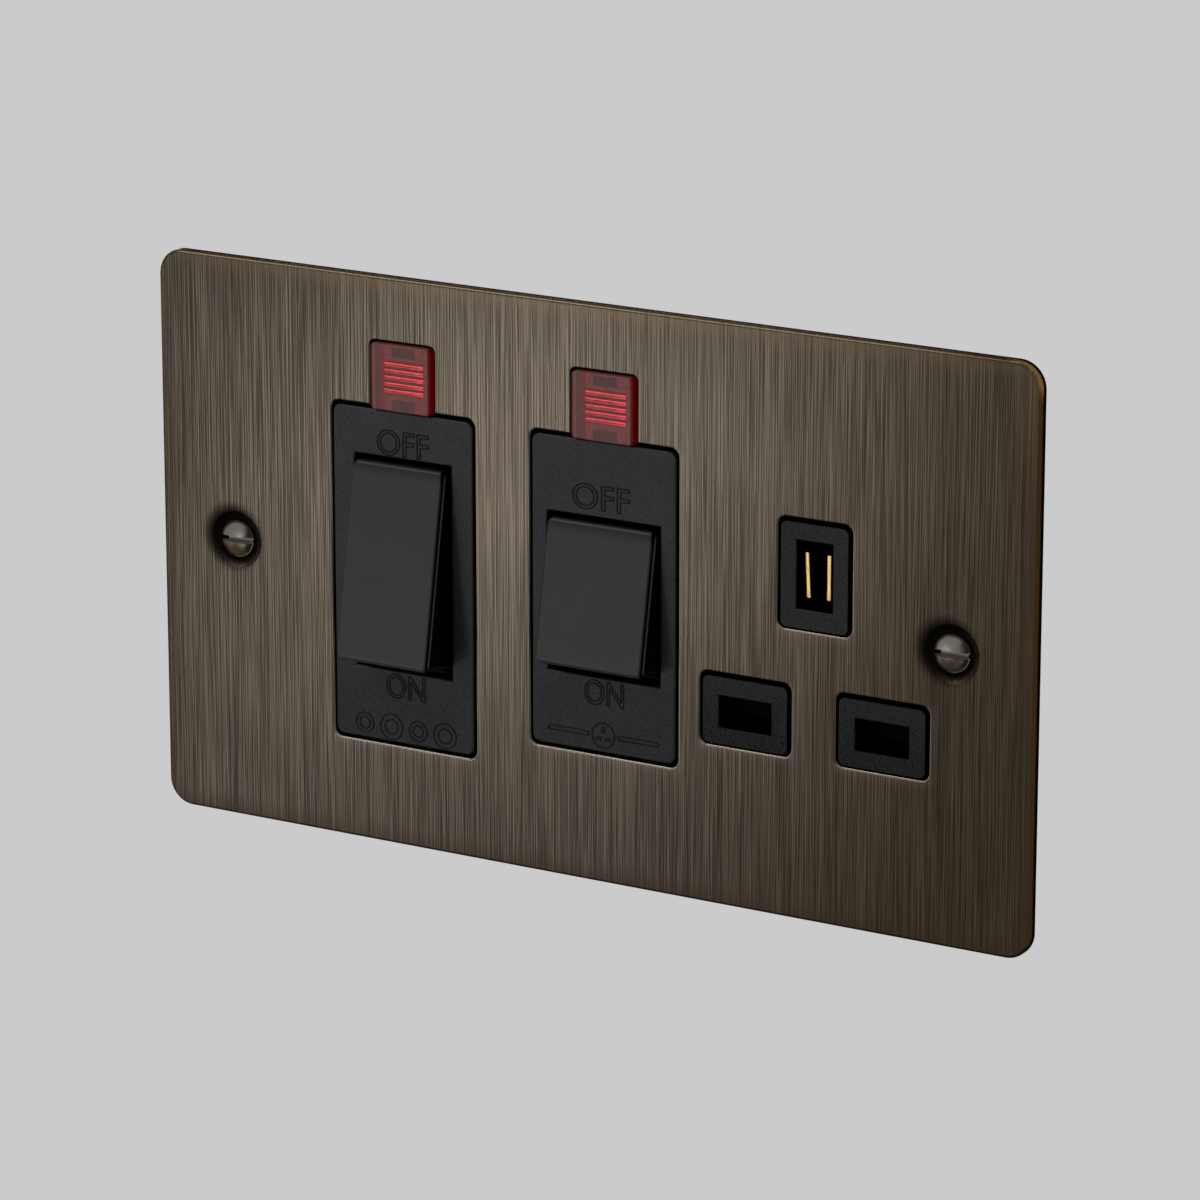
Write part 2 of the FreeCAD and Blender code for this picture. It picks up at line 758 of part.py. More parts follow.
def make_rocker(module):
    body = body_named(f"{module.name}_rocker")
    radius = module.rocker_radius
    reach = module.reach
    back = dim("rocker_back")
    wall = dim("rocker_wall")
    half_face = root(radius * radius - reach * reach)
    half_back = root(radius * radius - back * back)
    profile = side_sketch(body, "profile")
    outline(profile, [(-reach, -half_face), (back, -half_back), (back, half_back), (-reach, half_face)],
            {0: (radius, -1), 2: (radius, -1)})
    pad(body, profile, 2 * module.rocker_half_width, "cap", both_ways=True)
    soften(body, "corner_rounds", dim("rocker_corner"),
           lambda e: on_side(e, module) and not lies_at(e, "Y", -reach.value) and not lies_at(e, "Y", back.value))
    soften(body, "rim_round", dim("rocker_rim"), lambda e: lies_at(e, "Y", -reach.value))
    inner = radius - wall
    inner_reach = reach - wall
    inner_face = root(inner * inner - inner_reach * inner_reach)
    inner_back = root(inner * inner - back * back)
    hollow = side_sketch(body, "hollow_profile")
    outline(hollow, [(-inner_reach, -inner_face), (back, -inner_back), (back, inner_back),
                     (-inner_reach, inner_face)], {0: (inner, -1), 2: (inner, -1)})
    pocket(body, hollow, 2 * (module.rocker_half_width - wall), "hollow", both_ways=True)
    pole = dim("pole_offset")
    stem_back = dim("stem_back")
    slab(body, "stems", -inner_reach, stem_back, lambda s: [
        circle(s, pole * sign, 0, dim("stem_radius")) for sign in (-1, 1)])
    bores = front_sketch(body, "stem_bores_outline", stem_back)
    for sign in (-1, 1):
        circle(bores, pole * sign, 0, dim("plunger_radius") + dim("plunger_play"))
    pocket(body, bores, stem_back + inner_reach - dim("bore_floor"), "stem_bores", backwards=True)
    for side, sign in (("left", -1), ("right", 1)):
        start = module.rocker_half_width - wall
        trunnion = side_sketch(body, f"trunnion_{side}_outline", start * sign)
        circle(trunnion, 0, 0, dim("trunnion_radius"))
        pin = pad(body, trunnion, module.trunnion_end - start, f"trunnion_{side}")
        pin.Reversed = sign < 0
    place_on_pivot(body, module.x, module.pivot, module.tilt, -1)
    return body


def on_side(edge, module):
    """True if the edge lies in one of the rocker's two side faces."""
    half = module.rocker_half_width.value
    return lies_at(edge, "X", half) or lies_at(edge, "X", -half)


def bore_floor_depth(module):
    """Depth, from the pivot, of the closed end of a stem's bore."""
    return dim("bore_floor") - (module.reach - dim("rocker_wall"))


def make_plunger(module, pole, offset):
    body = body_named(f"{module.name}_plunger_{pole}")
    radius = dim("plunger_radius")
    tip = dim("arm_face") - dim("plunger_gap") - module.pivot
    profile = plan_sketch(body, "profile")
    bind(profile, "AttachmentOffset.Base.x", offset)
    spigot = radius - (dim("spring_wire") + dim("spring_play")) * 2
    shoulder = dim("plunger_shoulder")
    outline(profile, [
        (0, shoulder - radius), (spigot, shoulder - radius), (spigot, shoulder), (radius, shoulder),
        (radius, tip - radius), (0, tip),
    ], {4: (radius, 1)})
    turned(body, profile, "turned_blank")
    place_on_pivot(body, module.x, module.pivot, module.tilt, -1)
    return body


def make_plunger_spring(module, pole, offset):
    """Coil between the closed end of a stem's bore and the plunger's shoulder."""
    body = body_named(f"{module.name}_spring_{pole}")
    wire = dim("spring_wire")
    coil = dim("plunger_radius") - wire - dim("spring_play")
    start = bore_floor_depth(module) + wire
    wire_sketch = plan_sketch(body, "wire")
    bind(wire_sketch, "AttachmentOffset.Base.x", offset)
    rectangle(wire_sketch, coil - wire, start - wire, coil + wire, start + wire)
    coiled(body, wire_sketch, dim("spring_pitch"), dim("plunger_shoulder") - wire - start)
    place_on_pivot(body, module.x, module.pivot, module.tilt, -1)
    return body


def coiled(body, wire_sketch, pitch, height):
    """Spring wound round the sketch's upright axis from a section drawn beside it."""
    feature = body.newObject("PartDesign::AdditiveHelix", "coil")
    feature.Profile = wire_sketch
    feature.ReferenceAxis = (wire_sketch, ["V_Axis"])
    feature.Mode = "pitch-height-angle"
    bind(feature, "Pitch", pitch)
    bind(feature, "Height", height)


def make_contact_arm(module, pole, x):
    body = body_named(f"{module.name}_contact_arm_{pole}")
    face = -dim("arm_pivot_rise")
    back = face + dim("arm_thick")
    boss = dim("arm_boss_radius")
    top = dim("arm_top")
    bottom = -dim("arm_bottom")
    profile = side_sketch(body, "profile")
    outline(profile, [
        (face, bottom), (back, bottom), (back, -boss), (0, -boss), (boss, 0),
        (0, boss), (back, boss), (back, top), (face, top),
    ], {3: (boss, 1), 4: (boss, 1)})
    pad(body, profile, dim("arm_width"), "strip", both_ways=True)
    slab(body, "contact", back, back + dim("contact_thick"),
         lambda s: circle(s, 0, dim("contact_height"), dim("contact_radius")))
    place_on_pivot(body, x, arm_pivot, dim("arm_tilt"), 1)
    return body


# Neon lamps

def lens_face(module):
    """Limits of the lens's face: it fills the plate's notch down to the bezel."""
    half = dim("notch_width") / 2 - dim("lens_side_gap")
    low = module.rise - dim("bezel_end_gap") + dim("lens_foot_gap")
    return module.x - half, low, module.x + half, notch_top - dim("lens_side_gap")


def lens_stem(module, inset):
    """Limits of the lens's stem and, without an inset, of its window in the flange."""
    left, low, right, high = lens_face(module)
    step = dim("lens_stem_inset") + inset
    foot = module.rise + dim("bezel_end_gap") + inset
    return left + step, foot, right - step, high - step


def make_lens(module):
    body = body_named(f"{module.name}_neon_lens")
    front = bezel_front - dim("lens_proud")
    back = plate_back + dim("lens_stem_length")
    play = dim("lens_stem_play")
    wall = dim("lens_wall")
    slab(body, "face", front, plate_back,
         lambda s: rounded(s, *lens_face(module), dim("notch_corner")))
    slab(body, "stem", plate_back, back, lambda s: rectangle(s, *lens_stem(module, play)))
    cut(body, "hollow", front + wall, back, lambda s: rectangle(s, *lens_stem(module, play + wall)))
    soften(body, "face_edge", dim("bezel_edge"), lambda e: lies_at(e, "Y", front.value))
    return body


def make_neon_lamp(module):
    """Glass capsule lying across the lens's hollow."""
    body = body_named(f"{module.name}_neon_lamp")
    radius = dim("lamp_radius")
    left, low, right, high = lens_stem(module, dim("lens_stem_play") + dim("lens_wall") + dim("lamp_gap"))
    front = bezel_front - dim("lens_proud") + dim("lens_wall") + dim("lamp_gap")
    profile = front_sketch(body, "profile", front + radius)
    bind(profile, "AttachmentOffset.Base.x", module.x)
    bind(profile, "AttachmentOffset.Base.y", (low + high) / 2)
    start, end = left - module.x, right - module.x
    outline(profile, [(start, 0), (end, 0), (end - radius / 2, radius), (start + radius / 2, radius)])
    turned(body, profile, "glass", axis="H_Axis")
    return body


# Terminals, strips and contacts

def add_terminal_block(body, x, side):
    """Brass block with a blind wire bore from its outer end and a clamp screw's hole behind."""
    half = dim("block_width") / 2
    near = block_start
    far = near + dim("block_height")
    front = wall_front - dim("block_depth")
    low, high = (near, far) if side > 0 else (-far, -near)
    slab(body, "block", front, wall_front, lambda s: rectangle(s, x - half, low, x + half, high))
    bore = plan_sketch(body, "wire_bore_outline", far * side)
    circle(bore, x, wire_depth(), dim("wire_radius"))
    pocket(body, bore, dim("wire_bore_length"), "wire_bore", backwards=side < 0)
    hole = front_sketch(body, "clamp_hole_outline", wall_front)
    circle(hole, x, clamp_height() * side, dim("clamp_radius") + dim("clamp_play"))
    pocket(body, hole, wall_front - wire_depth(), "clamp_hole", backwards=True)


def wire_depth():
    """Depth of the wire bores' axis: they lie to the front of the block, clear of the clamp screw."""
    return wall_front - dim("block_depth") + dim("wire_radius") + dim("block_wall")


def clamp_height():
    return block_start + dim("block_height") - dim("wire_bore_length") / 2


def add_cradle(body, x):
    """Post and two ears that carry a contact arm's boss."""
    half_post = dim("cradle_post_width") / 2
    ear_in = dim("arm_width") / 2 + dim("arm_side_gap")
    ear_out = ear_in + dim("cradle_thick")
    rise = dim("cradle_rise")
    floor = arm_pivot + dim("arm_boss_radius") + dim("cradle_gap")
    slab(body, "cradle_post", floor, strip_front,
         lambda s: rectangle(s, x - half_post, -rise, x + half_post, rise))
    slab(body, "cradle_floor", floor, floor + dim("cradle_thick"),
         lambda s: rectangle(s, x - ear_out, -rise, x + ear_out, rise))
    for side, sign in (("left", -1), ("right", 1)):
        near, far = x + ear_in * sign, x + ear_out * sign
        low, high = (far, near) if sign < 0 else (near, far)
        slab(body, f"cradle_ear_{side}", arm_pivot - dim("arm_boss_radius") / 2, floor,
             lambda s: rectangle(s, low, -rise, high, rise))


def contact_foot():
    """Height at which a strip under a fixed contact ends."""
    return dim("contact_height") - dim("contact_radius") - dim("contact_margin")


def add_fixed_contact(body, x, back):
    slab(body, "fixed_contact", contact_face, back,
         lambda s: circle(s, x, dim("contact_height"), dim("contact_radius")))


def make_terminal(name, x, side, block_x, fixed_contact):
    """Terminal block and strip; above the switch it carries a fixed contact, below it the cradle."""
    body = body_named(f"{name}_terminal")
    add_terminal_block(body, block_x, side)
    half = dim("strip_width") / 2
    end = block_start
    if fixed_contact:
        low, high = contact_foot(), end
    else:
        low, high = -end, dim("cradle_rise")
    slab(body, "strip", strip_front, strip_back, lambda s: rectangle(s, x - half, low, x + half, high))
    if fixed_contact:
        add_fixed_contact(body, x, strip_front)
    else:
        add_cradle(body, x)
    return body


def make_clamp_screw(name, x, side):
    body = body_named(f"{name}_clamp_screw")
    profile = plan_sketch(body, "profile", clamp_height() * side)
    bind(profile, "AttachmentOffset.Base.x", x)
    tip = wire_depth() + dim("wire_radius") + dim("clamp_gap")
    end = tip + dim("clamp_length")
    radius = dim("clamp_radius")
    bevel = dim("clamp_bevel")
    outline(profile, [(0, tip), (radius - bevel, tip), (radius, tip + bevel), (radius, end), (0, end)])
    turned(body, profile, "turned_blank")
    slot = front_sketch(body, "slot_outline", end)
    half = dim("screw_slot") / 2
    rectangle(slot, x - 2 * radius, clamp_height() * side - half, x + 2 * radius, clamp_height() * side + half)
    pocket(body, slot, dim("screw_slot"), "slot", backwards=True)
    return body


def make_line_feed():
    """Strip that takes line from the cooker switch's supply side to the socket switch."""
    body = body_named("line_feed")
    start = COOKER.x - dim("pole_offset")
    end = SOCKET.x - dim("pole_offset")
    front = strip_front + dim("strip_step")
    radius = dim("contact_radius")
    z = dim("contact_height")
    slab(body, "strip", front, front + dim("strip_thick"),
         lambda s: rectangle(s, start - radius, z - radius, end + radius, z + radius))
    slab(body, "supply_post", strip_back, front, lambda s: circle(s, start, z, radius))
    add_fixed_contact(body, end, front)
    return body


def make_neutral_feed():
    """Strip that takes neutral from the cooker switch's supply side to the socket switch."""
    body = body_named("neutral_feed")
    half = dim("strip_width") / 2
    start = COOKER.x + dim("pole_offset") + half
    end = SOCKET.x + dim("pole_offset")
    foot = contact_foot()
    top = block_start - dim("bar_gap")
    rung = top - dim("bar_height")
    slab(body, "strip", strip_front, strip_back, lambda s: outline(s, [
        (start, rung), (end - half, rung), (end - half, foot), (end + half, foot),
        (end + half, top), (start, top)]))
    add_fixed_contact(body, end, strip_front)
    return body


def add_clip(body, x):
    """Spring clip of two leaves above and below the pin's path."""
    z = live_z - dim("live_slot_drop")
    inner = dim("clip_gap") / 2
    outer = inner + dim("clip_thick")
    front = dim("clip_front")
    lead = dim("clip_thick")
    profile = side_sketch(body, "clip_profile", x)
    outline(profile, [
        (front, z + inner + lead), (front + 2 * lead, z + inner), (strip_front, z + inner),
        (strip_front, z - inner), (front + 2 * lead, z - inner), (front, z - inner - lead),
        (front, z - outer - lead), (front + 2 * lead, z - outer), (strip_back, z - outer),
        (strip_back, z + outer), (front + 2 * lead, z + outer), (front, z + outer + lead),
    ])
    pad(body, profile, dim("clip_width"), "clip", both_ways=True)


def make_neutral_contact():
    """Cradle under the socket switch's neutral arm, strip and clip for the neutral pin."""
    body = body_named("socket_neutral_contact")
    x = SOCKET.x + dim("pole_offset")
    half = dim("link_width") / 2
    clip_top = live_z - dim("live_slot_drop") + dim("clip_gap") / 2
    slab(body, "strip", strip_front, strip_back, lambda s: outline(s, [
        (x - half, -half), (NEUTRAL_X - half, -half), (NEUTRAL_X - half, clip_top),
        (NEUTRAL_X + half, clip_top), (NEUTRAL_X + half, half), (x - half, half)]))
    add_cradle(body, x)
    add_clip(body, NEUTRAL_X)
    return body


def make_line_contact():
    """Cradle under the socket switch's line arm, strip and clip for the line pin."""
    body = body_named("socket_line_contact")
    x = SOCKET.x - dim("pole_offset")
    half = dim("link_width") / 2
    clip_foot = live_z - dim("live_slot_drop") - dim("clip_gap") / 2
    high = clip_foot - dim("strip_width")
    low = high - dim("bar_height")
    slab(body, "strip", strip_front, strip_back, lambda s: outline(s, [
        (x - half, low), (LINE_X + half, low), (LINE_X + half, clip_foot),
        (LINE_X - half, clip_foot), (LINE_X - half, high), (x + half, high),
        (x + half, half), (x - half, half)]))
    add_cradle(body, x)
    add_clip(body, LINE_X)
    return body


def leaf_limits():
    """Lower and upper ends of the earth leaves."""
    middle = earth_z - dim("leaf_drop")
    return middle - dim("leaf_height") / 2, middle + dim("leaf_height") / 2


def make_earth_contact():
    """Two leaves close behind the earth slot, the left one leaning, bridged over the pin, with the earth bar."""
    body = body_named("earth_contact")
    x = dim("earth_x")
    inner = dim("leaf_gap") / 2
    outer = inner + dim("leaf_thick")
    low, high = leaf_limits()
    bridge = earth_z + dim("bridge_rise")
    cap = bridge + dim("bridge_thick")
    split = dim("leaf_step")
    lean = dim("leaf_lean")
    slab(body, "leaf_left", dim("leaf_front"), split, lambda s: outline(s, [
        (x - outer, low), (x - inner, low), (x - inner - lean, high), (x - outer - lean, high)]))
    slab(body, "leaf_right", dim("leaf_front"), split, lambda s: rectangle(s, x + inner, low, x + outer, high))
    slab(body, "bridge", split, strip_back, lambda s: outline(s, [
        (x - outer, low), (x - inner, low), (x - inner, bridge), (x + inner, bridge),
        (x + inner, low), (x + outer, low), (x + outer, cap), (x - outer, cap)]))
    half = dim("link_width") / 2
    bar_top = block_start
    bar_low = bar_top - dim("bar_height")
    block = dim("block_offset") + dim("block_width") / 2
    tab_x = dim("pillar_right")
    tab_z = pillar_height
    slab(body, "bar", strip_front, strip_back, lambda s: outline(s, [
        (x - half, bridge), (x + half, bridge), (x + half, bar_low), (tab_x + half, bar_low),
        (tab_x + half, tab_z + half), (tab_x - half, tab_z + half), (tab_x - half, bar_top),
        (x - block, bar_top), (x - block, bar_low), (x - half, bar_low)]))
    cut(body, "tab_hole", strip_front, strip_back,
        lambda s: circle(s, tab_x, tab_z, dim("housing_screw_radius") + dim("housing_screw_play")))
    return body


def make_earth_terminal(side, sign):
    body = body_named(f"earth_terminal_{side}")
    add_terminal_block(body, dim("earth_x") + dim("block_offset") * sign, 1)
    return body


# Shutter

def shutter_bar():
    """Lower and upper edges of the bar that covers the two live slots."""
    top = live_z - dim("live_slot_drop") + dim("live_slot_height") / 2 + dim("shutter_lap")
    return top - dim("shutter_bar_height"), top


def shutter_ring_foot():
    """Lower edge of the ring round the earth leaves."""
    return leaf_limits()[0] - dim("shutter_play") - dim("shutter_rim")


def spring_shelf_top():
    return dim("body_wall") * 2 + dim("shutter_play") - body_bottom


def make_shutter():
    """Bar behind the two live slots, stem, and a window round the earth leaves with the ramp."""
    body = body_named("shutter")
    x = dim("earth_x")
    front = dim("shutter_front")
    back = front + dim("shutter_thick")
    bar_low, bar_top = shutter_bar()
    stem = dim("shutter_stem_width") / 2
    rim = dim("shutter_rim")
    window = dim("leaf_gap") / 2 + dim("leaf_thick") + dim("leaf_lean") + dim("shutter_ring_gap")
    ring = window + rim
    leaf_low, leaf_high = leaf_limits()
    ring_foot = shutter_ring_foot()
    window_foot = ring_foot + rim
    window_top = leaf_high + dim("shutter_travel") + dim("shutter_ring_gap")
    ring_top = window_top + rim
    half_bar = dim("shutter_bar_half")
    slab(body, "plate", front, back, lambda s: outline(s, [
        (x - half_bar, bar_low), (x + half_bar, bar_low), (x + half_bar, bar_top), (x + stem, bar_top),
        (x + stem, ring_foot), (x + ring, ring_foot), (x + ring, ring_top), (x - ring, ring_top),
        (x - ring, ring_foot), (x - stem, ring_foot), (x - stem, bar_top), (x - half_bar, bar_top)]))
    cut(body, "window", front, back,
        lambda s: rectangle(s, x - window, window_foot, x + window, window_top))
    ramp = side_sketch(body, "ramp_profile", x)
    tail = front + dim("ramp_length")
    crest = leaf_low + dim("shutter_travel")
    outline(ramp, [(front, ring_foot), (tail, ring_foot), (tail, crest),
                   (tail - dim("ramp_land"), crest), (front, window_foot)])
    pad(body, ramp, dim("ramp_width"), "ramp", both_ways=True)
    return body


def make_shutter_spring():
    body = body_named("shutter_spring")
    wire = dim("spring_wire")
    coil = dim("shutter_coil")
    start = spring_shelf_top() + wire
    wire_sketch = front_sketch(body, "wire", dim("shutter_front") + dim("shutter_thick") / 2)
    bind(wire_sketch, "AttachmentOffset.Base.x", dim("earth_x"))
    rectangle(wire_sketch, coil - wire, start - wire, coil + wire, start + wire)
    coiled(body, wire_sketch, dim("shutter_spring_pitch"), shutter_bar()[0] - wire - start)
    return body


# Rear housing

def housing_outline(sketch, inset):
    left = -dim("body_left") + inset
    right = dim("body_right") - inset
    low = -body_bottom + inset
    high = body_top - inset
    notch = right - dim("lug_depth")
    lug = dim("lug_half") + inset
    outline(sketch, [
        (left, low), (right, low), (right, -lug), (notch, -lug),
        (notch, lug), (right, lug), (right, high), (left, high)])


def make_rear_housing():
    body = body_named("rear_housing")
    wall = dim("body_wall")
    slab(body, "shell", flange_back, dim("body_back"), lambda s: housing_outline(s, as_size(0)))
    soften(body, "shell_edge", dim("shell_round"), lambda e: lies_at(e, "Y", dim("body_back").value))
    cut(body, "cavity", flange_back, wall_front, lambda s: housing_outline(s, wall))
    back = dim("body_back")
    floor = back - dim("back_relief")
    relief = front_sketch(body, "relief_outline", back)
    housing_outline(relief, dim("back_rim"))
    pocket(body, relief, dim("back_relief"), "relief", backwards=True)
    earth = dim("earth_x")
    step = dim("block_offset")
    upper = [COOKER.x - step, COOKER.x + step, earth - step, earth + step]
    lower = [COOKER.x - step, COOKER.x + step]
    half = dim("wire_radius") + dim("entry_margin")
    for name, places, side in (("upper", upper, 1), ("lower", lower, -1)):
        edge = body_top if side > 0 else -body_bottom
        entry = plan_sketch(body, f"{name}_entry_outline", edge)
        for x in places:
            rectangle(entry, x - half, wire_depth() - half, x + half, wire_depth() + half)
        pocket(body, entry, wall, f"{name}_wire_entries", backwards=side < 0)
        collar = dim("clamp_radius") + dim("access_play") + dim("collar_wall")
        slab(body, f"{name}_collars", floor, back,
             lambda s: [circle(s, x, clamp_height() * side, collar) for x in places])
        access = front_sketch(body, f"{name}_access_outline", dim("body_back"))
        for x in places:
            circle(access, x, clamp_height() * side, dim("clamp_radius") + dim("access_play"))
        pocket(body, access, dim("back_wall"), f"{name}_screw_access", backwards=True)
    rib = wall / 2
    inner_top = body_top - wall
    inner_low = wall - body_bottom
    start = block_start
    slab(body, "barriers", strip_front - dim("strip_width"), wall_front, lambda s: [
        rectangle(s, COOKER.x - rib, start, COOKER.x + rib, inner_top),
        rectangle(s, COOKER.x - rib, inner_low, COOKER.x + rib, -start),
        rectangle(s, earth - rib, start + dim("shutter_play"), earth + rib, inner_top)])
    half_rib = dim("back_rib") / 2
    reach = clamp_height() - collar
    slab(body, "back_ribs", floor, back, lambda s: [
        rectangle(s, COOKER.x - half_rib, reach, COOKER.x + half_rib, body_top - dim("back_rim")),
        rectangle(s, COOKER.x - half_rib, dim("back_rim") - body_bottom, COOKER.x + half_rib, -reach),
        rectangle(s, earth - half_rib, reach, earth + half_rib, body_top - dim("back_rim"))])
    boss = dim("housing_screw_head") + dim("housing_screw_play") + dim("collar_wall")
    slab(body, "corner_bosses", floor, back, lambda s: [circle(s, x, z, boss) for name, x, z in PILLARS])
    post = dim("pillar_radius") + dim("pillar_gap")
    for name, x, z in PILLARS:
        tab = dim("strip_thick") if name == "upper_right" else as_size(0)
        slab(body, f"post_{name}", strip_front + tab, wall_front, lambda s: circle(s, x, z, post))
    screw = dim("housing_screw_radius") + dim("housing_screw_play")
    drill = front_sketch(body, "screw_holes_outline", dim("body_back"))
    for name, x, z in PILLARS:
        circle(drill, x, z, screw)
    pocket(body, drill, dim("body_back") - strip_front, "screw_holes", backwards=True)
    sink = front_sketch(body, "counterbores_outline", dim("body_back"))
    for name, x, z in PILLARS:
        circle(sink, x, z, dim("housing_screw_head") + dim("housing_screw_play"))
    pocket(body, sink, dim("counterbore_depth"), "counterbores", backwards=True)
    return body


def make_housing_screw(name, x, z):
    body = body_named(f"housing_screw_{name}")
    profile = plan_sketch(body, "profile", z)
    bind(profile, "AttachmentOffset.Base.x", x)
    top = dim("body_back")
    seat = top - dim("counterbore_depth")
    tip = seat - dim("housing_screw_length")
    head = dim("housing_screw_head")
    shank = dim("housing_screw_radius")
    bevel = dim("head_bevel")
    outline(profile, [(0, tip), (shank, tip), (shank, seat), (head, seat),
                      (head, top - bevel), (head - bevel, top), (0, top)])
    turned(body, profile, "turned_blank")
    return body


make_front_plate()
make_gasket()
make_fixing_screw("left", -1)
make_fixing_screw("right", 1)
make_cooker_front()
make_socket_front()
for module in (COOKER, SOCKET):
    make_rocker(module)
    make_lens(module)
    make_neon_lamp(module)
    for sign, (pole, x) in zip((-1, 1), module.poles()):
        make_plunger(module, pole, dim("pole_offset") * sign)
        make_plunger_spring(module, pole, dim("pole_offset") * sign)
        make_contact_arm(module, pole, x)
for sign, (pole, x) in zip((-1, 1), COOKER.poles()):
    block_x = COOKER.x + dim("block_offset") * sign
    make_terminal(f"supply_{pole}", x, 1, block_x, True)
    make_terminal(f"load_{pole}", x, -1, block_x, False)
    make_clamp_screw(f"supply_{pole}", block_x, 1)
    make_clamp_screw(f"load_{pole}", block_x, -1)
make_line_feed()
make_neutral_feed()
make_line_contact()
make_neutral_contact()
make_earth_contact()
for side, sign in (("left", -1), ("right", 1)):
    make_earth_terminal(side, sign)
    make_clamp_screw(f"earth_{side}", dim("earth_x") + dim("block_offset") * sign, 1)
make_shutter()
make_shutter_spring()
make_rear_housing()
for name, x, z in PILLARS:
    make_housing_screw(name, x, z)
doc.recompute()

failed = [item.Name for item in doc.Objects if {"Invalid", "Error"} & set(item.State)]
if failed:
    raise RuntimeError(f"these objects did not rebuild: {failed}")
bodies = [item for item in doc.Objects if item.TypeId == "PartDesign::Body"]
for body in bodies:
    shape = body.Shape
    if shape.isNull() or not shape.isValid() or len(shape.Solids) != 1:
        raise RuntimeError(f"{body.Label} is not one sound solid")

os.makedirs("parts", exist_ok=True)
for body in bodies:
    body.Shape.exportStep(f"parts/{body.Label}.step")
print(f"{len(bodies)} pieces written")
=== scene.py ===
import json
import math

import bpy
import numpy as np
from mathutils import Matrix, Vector

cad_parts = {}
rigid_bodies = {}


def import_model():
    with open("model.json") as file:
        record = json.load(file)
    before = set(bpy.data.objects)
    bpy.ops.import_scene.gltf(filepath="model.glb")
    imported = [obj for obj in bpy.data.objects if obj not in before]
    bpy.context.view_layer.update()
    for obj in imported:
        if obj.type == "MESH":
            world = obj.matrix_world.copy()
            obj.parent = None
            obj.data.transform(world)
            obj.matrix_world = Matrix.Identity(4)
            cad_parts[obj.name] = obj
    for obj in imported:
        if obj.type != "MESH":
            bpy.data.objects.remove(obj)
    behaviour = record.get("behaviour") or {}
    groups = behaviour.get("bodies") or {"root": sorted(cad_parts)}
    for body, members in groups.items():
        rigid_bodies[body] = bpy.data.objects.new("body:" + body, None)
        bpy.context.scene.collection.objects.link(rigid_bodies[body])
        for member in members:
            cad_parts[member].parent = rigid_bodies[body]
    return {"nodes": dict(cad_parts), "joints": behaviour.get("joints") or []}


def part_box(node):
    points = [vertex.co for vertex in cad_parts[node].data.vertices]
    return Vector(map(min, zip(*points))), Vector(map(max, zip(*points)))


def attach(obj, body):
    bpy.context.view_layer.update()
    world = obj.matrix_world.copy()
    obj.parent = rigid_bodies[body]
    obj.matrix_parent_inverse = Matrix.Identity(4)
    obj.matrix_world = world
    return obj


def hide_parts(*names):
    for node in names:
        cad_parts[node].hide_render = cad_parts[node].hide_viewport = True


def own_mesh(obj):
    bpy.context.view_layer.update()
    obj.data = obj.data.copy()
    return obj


bl_info = {
    "name": "Cooker control unit",
    "version": (1, 0, 0),
    "blender": (4, 5, 0),
    "location": "View3D > Sidebar > Cooker unit",
    "description": "Finishes, lettering, camera and light for a flush cooker control unit",
    "category": "Object",
}

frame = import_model()
NODES = frame["nodes"]
MM = 0.001

# Places and sizes are in millimetres, as in the part's source: X runs across the face from the
# plate's middle, Y into the wall and Z up
COOKER_X = -30.6
SOCKET_X = 3.7
EARTH_X = 38.4
PIN_HALF_PITCH = 11.115
SCREW_X = 60.3
PLATE_HALF = (73.5, 43.5)
PLATE_CORNER = 4.0
TRUNNION_LENGTH = 1.8
RELIEF_DEPTH = 0.5

# Plate openings: middle X and Z, half width, half height
OPENINGS = (
    (COOKER_X, -2.05, 12.4, 25.95),
    (SOCKET_X, 0.0, 12.4, 23.9),
    (EARTH_X, 8.2, 5.95, 8.225),
    (EARTH_X - PIN_HALF_PITCH, -13.8, 7.45, 5.475),
    (EARTH_X + PIN_HALF_PITCH, -13.8, 7.45, 5.475),
)
OPENING_CORNER = 1.3

# Earth leaves: distance of each from the slot's middle, lean of the left one, height of its foot
LEAF_SPREAD = 1.62
LEAF_LEAN = 0.053
LEAF_FOOT = 4.9

# Brush marks: how often each kind changes in a millimetre across, in depth and along the grain
FINE_BRUSH = (6.0, 2.0, 0.05)
HAIR_BRUSH = (11.0, 2.0, 0.07)
THREAD_BRUSH = (2.4, 1.0, 0.03)
BROAD_BRUSH = (0.35, 1.0, 0.02)
FADE_BRUSH = (7.0, 1.0, 0.16)

# Shares of the plating's middle colour in its dark and light marks, in two copies: the paler,
# greyer one is a painted sheen and the browner, darker one painted shade
SHEEN_COPY_DARK = (0.561, 0.539, 0.506)
SHEEN_COPY_LIGHT = (2.0, 2.0, 1.96)
SHADE_COPY_DARK = (0.48, 0.38, 0.29)
SHADE_COPY_LIGHT = (1.15, 0.95, 0.76)

# Colours of small places on the plate, with a painted highlight along the openings and the near
# black of painted shade and of the screws' halos
LOW_EDGE = (0.048, 0.033, 0.021)
RIM_BROWN = (0.060, 0.035, 0.014)
CORNER_GOLD = (0.25, 0.15, 0.060)
OPENING_HIGHLIGHT = (0.28, 0.25, 0.20)
SHADE_AND_HALO_BLACK = (0.003, 0.0028, 0.0025)

# Lettering on the fronts: name, middle X and Z, word, width
LETTERING = (
    ("cooker_off", -30.5, 18.6, "OFF", 8.8),
    ("cooker_on", -30.35, -18.7, "ON", 6.7),
    ("socket_off", 3.35, 15.0, "OFF", 9.5),
    ("socket_on", 3.85, -14.4, "ON", 6.5),
)
LETTER_SPACING = 0.12

# Hob sign: its height on the face, the rings' pitch and radii, and the share of their inner rings
HOB_Z = -25.2
HOB_PITCH = 4.7
HOB_RADII = (1.55, 1.95, 1.55, 1.95)
HOB_INNER = 0.58

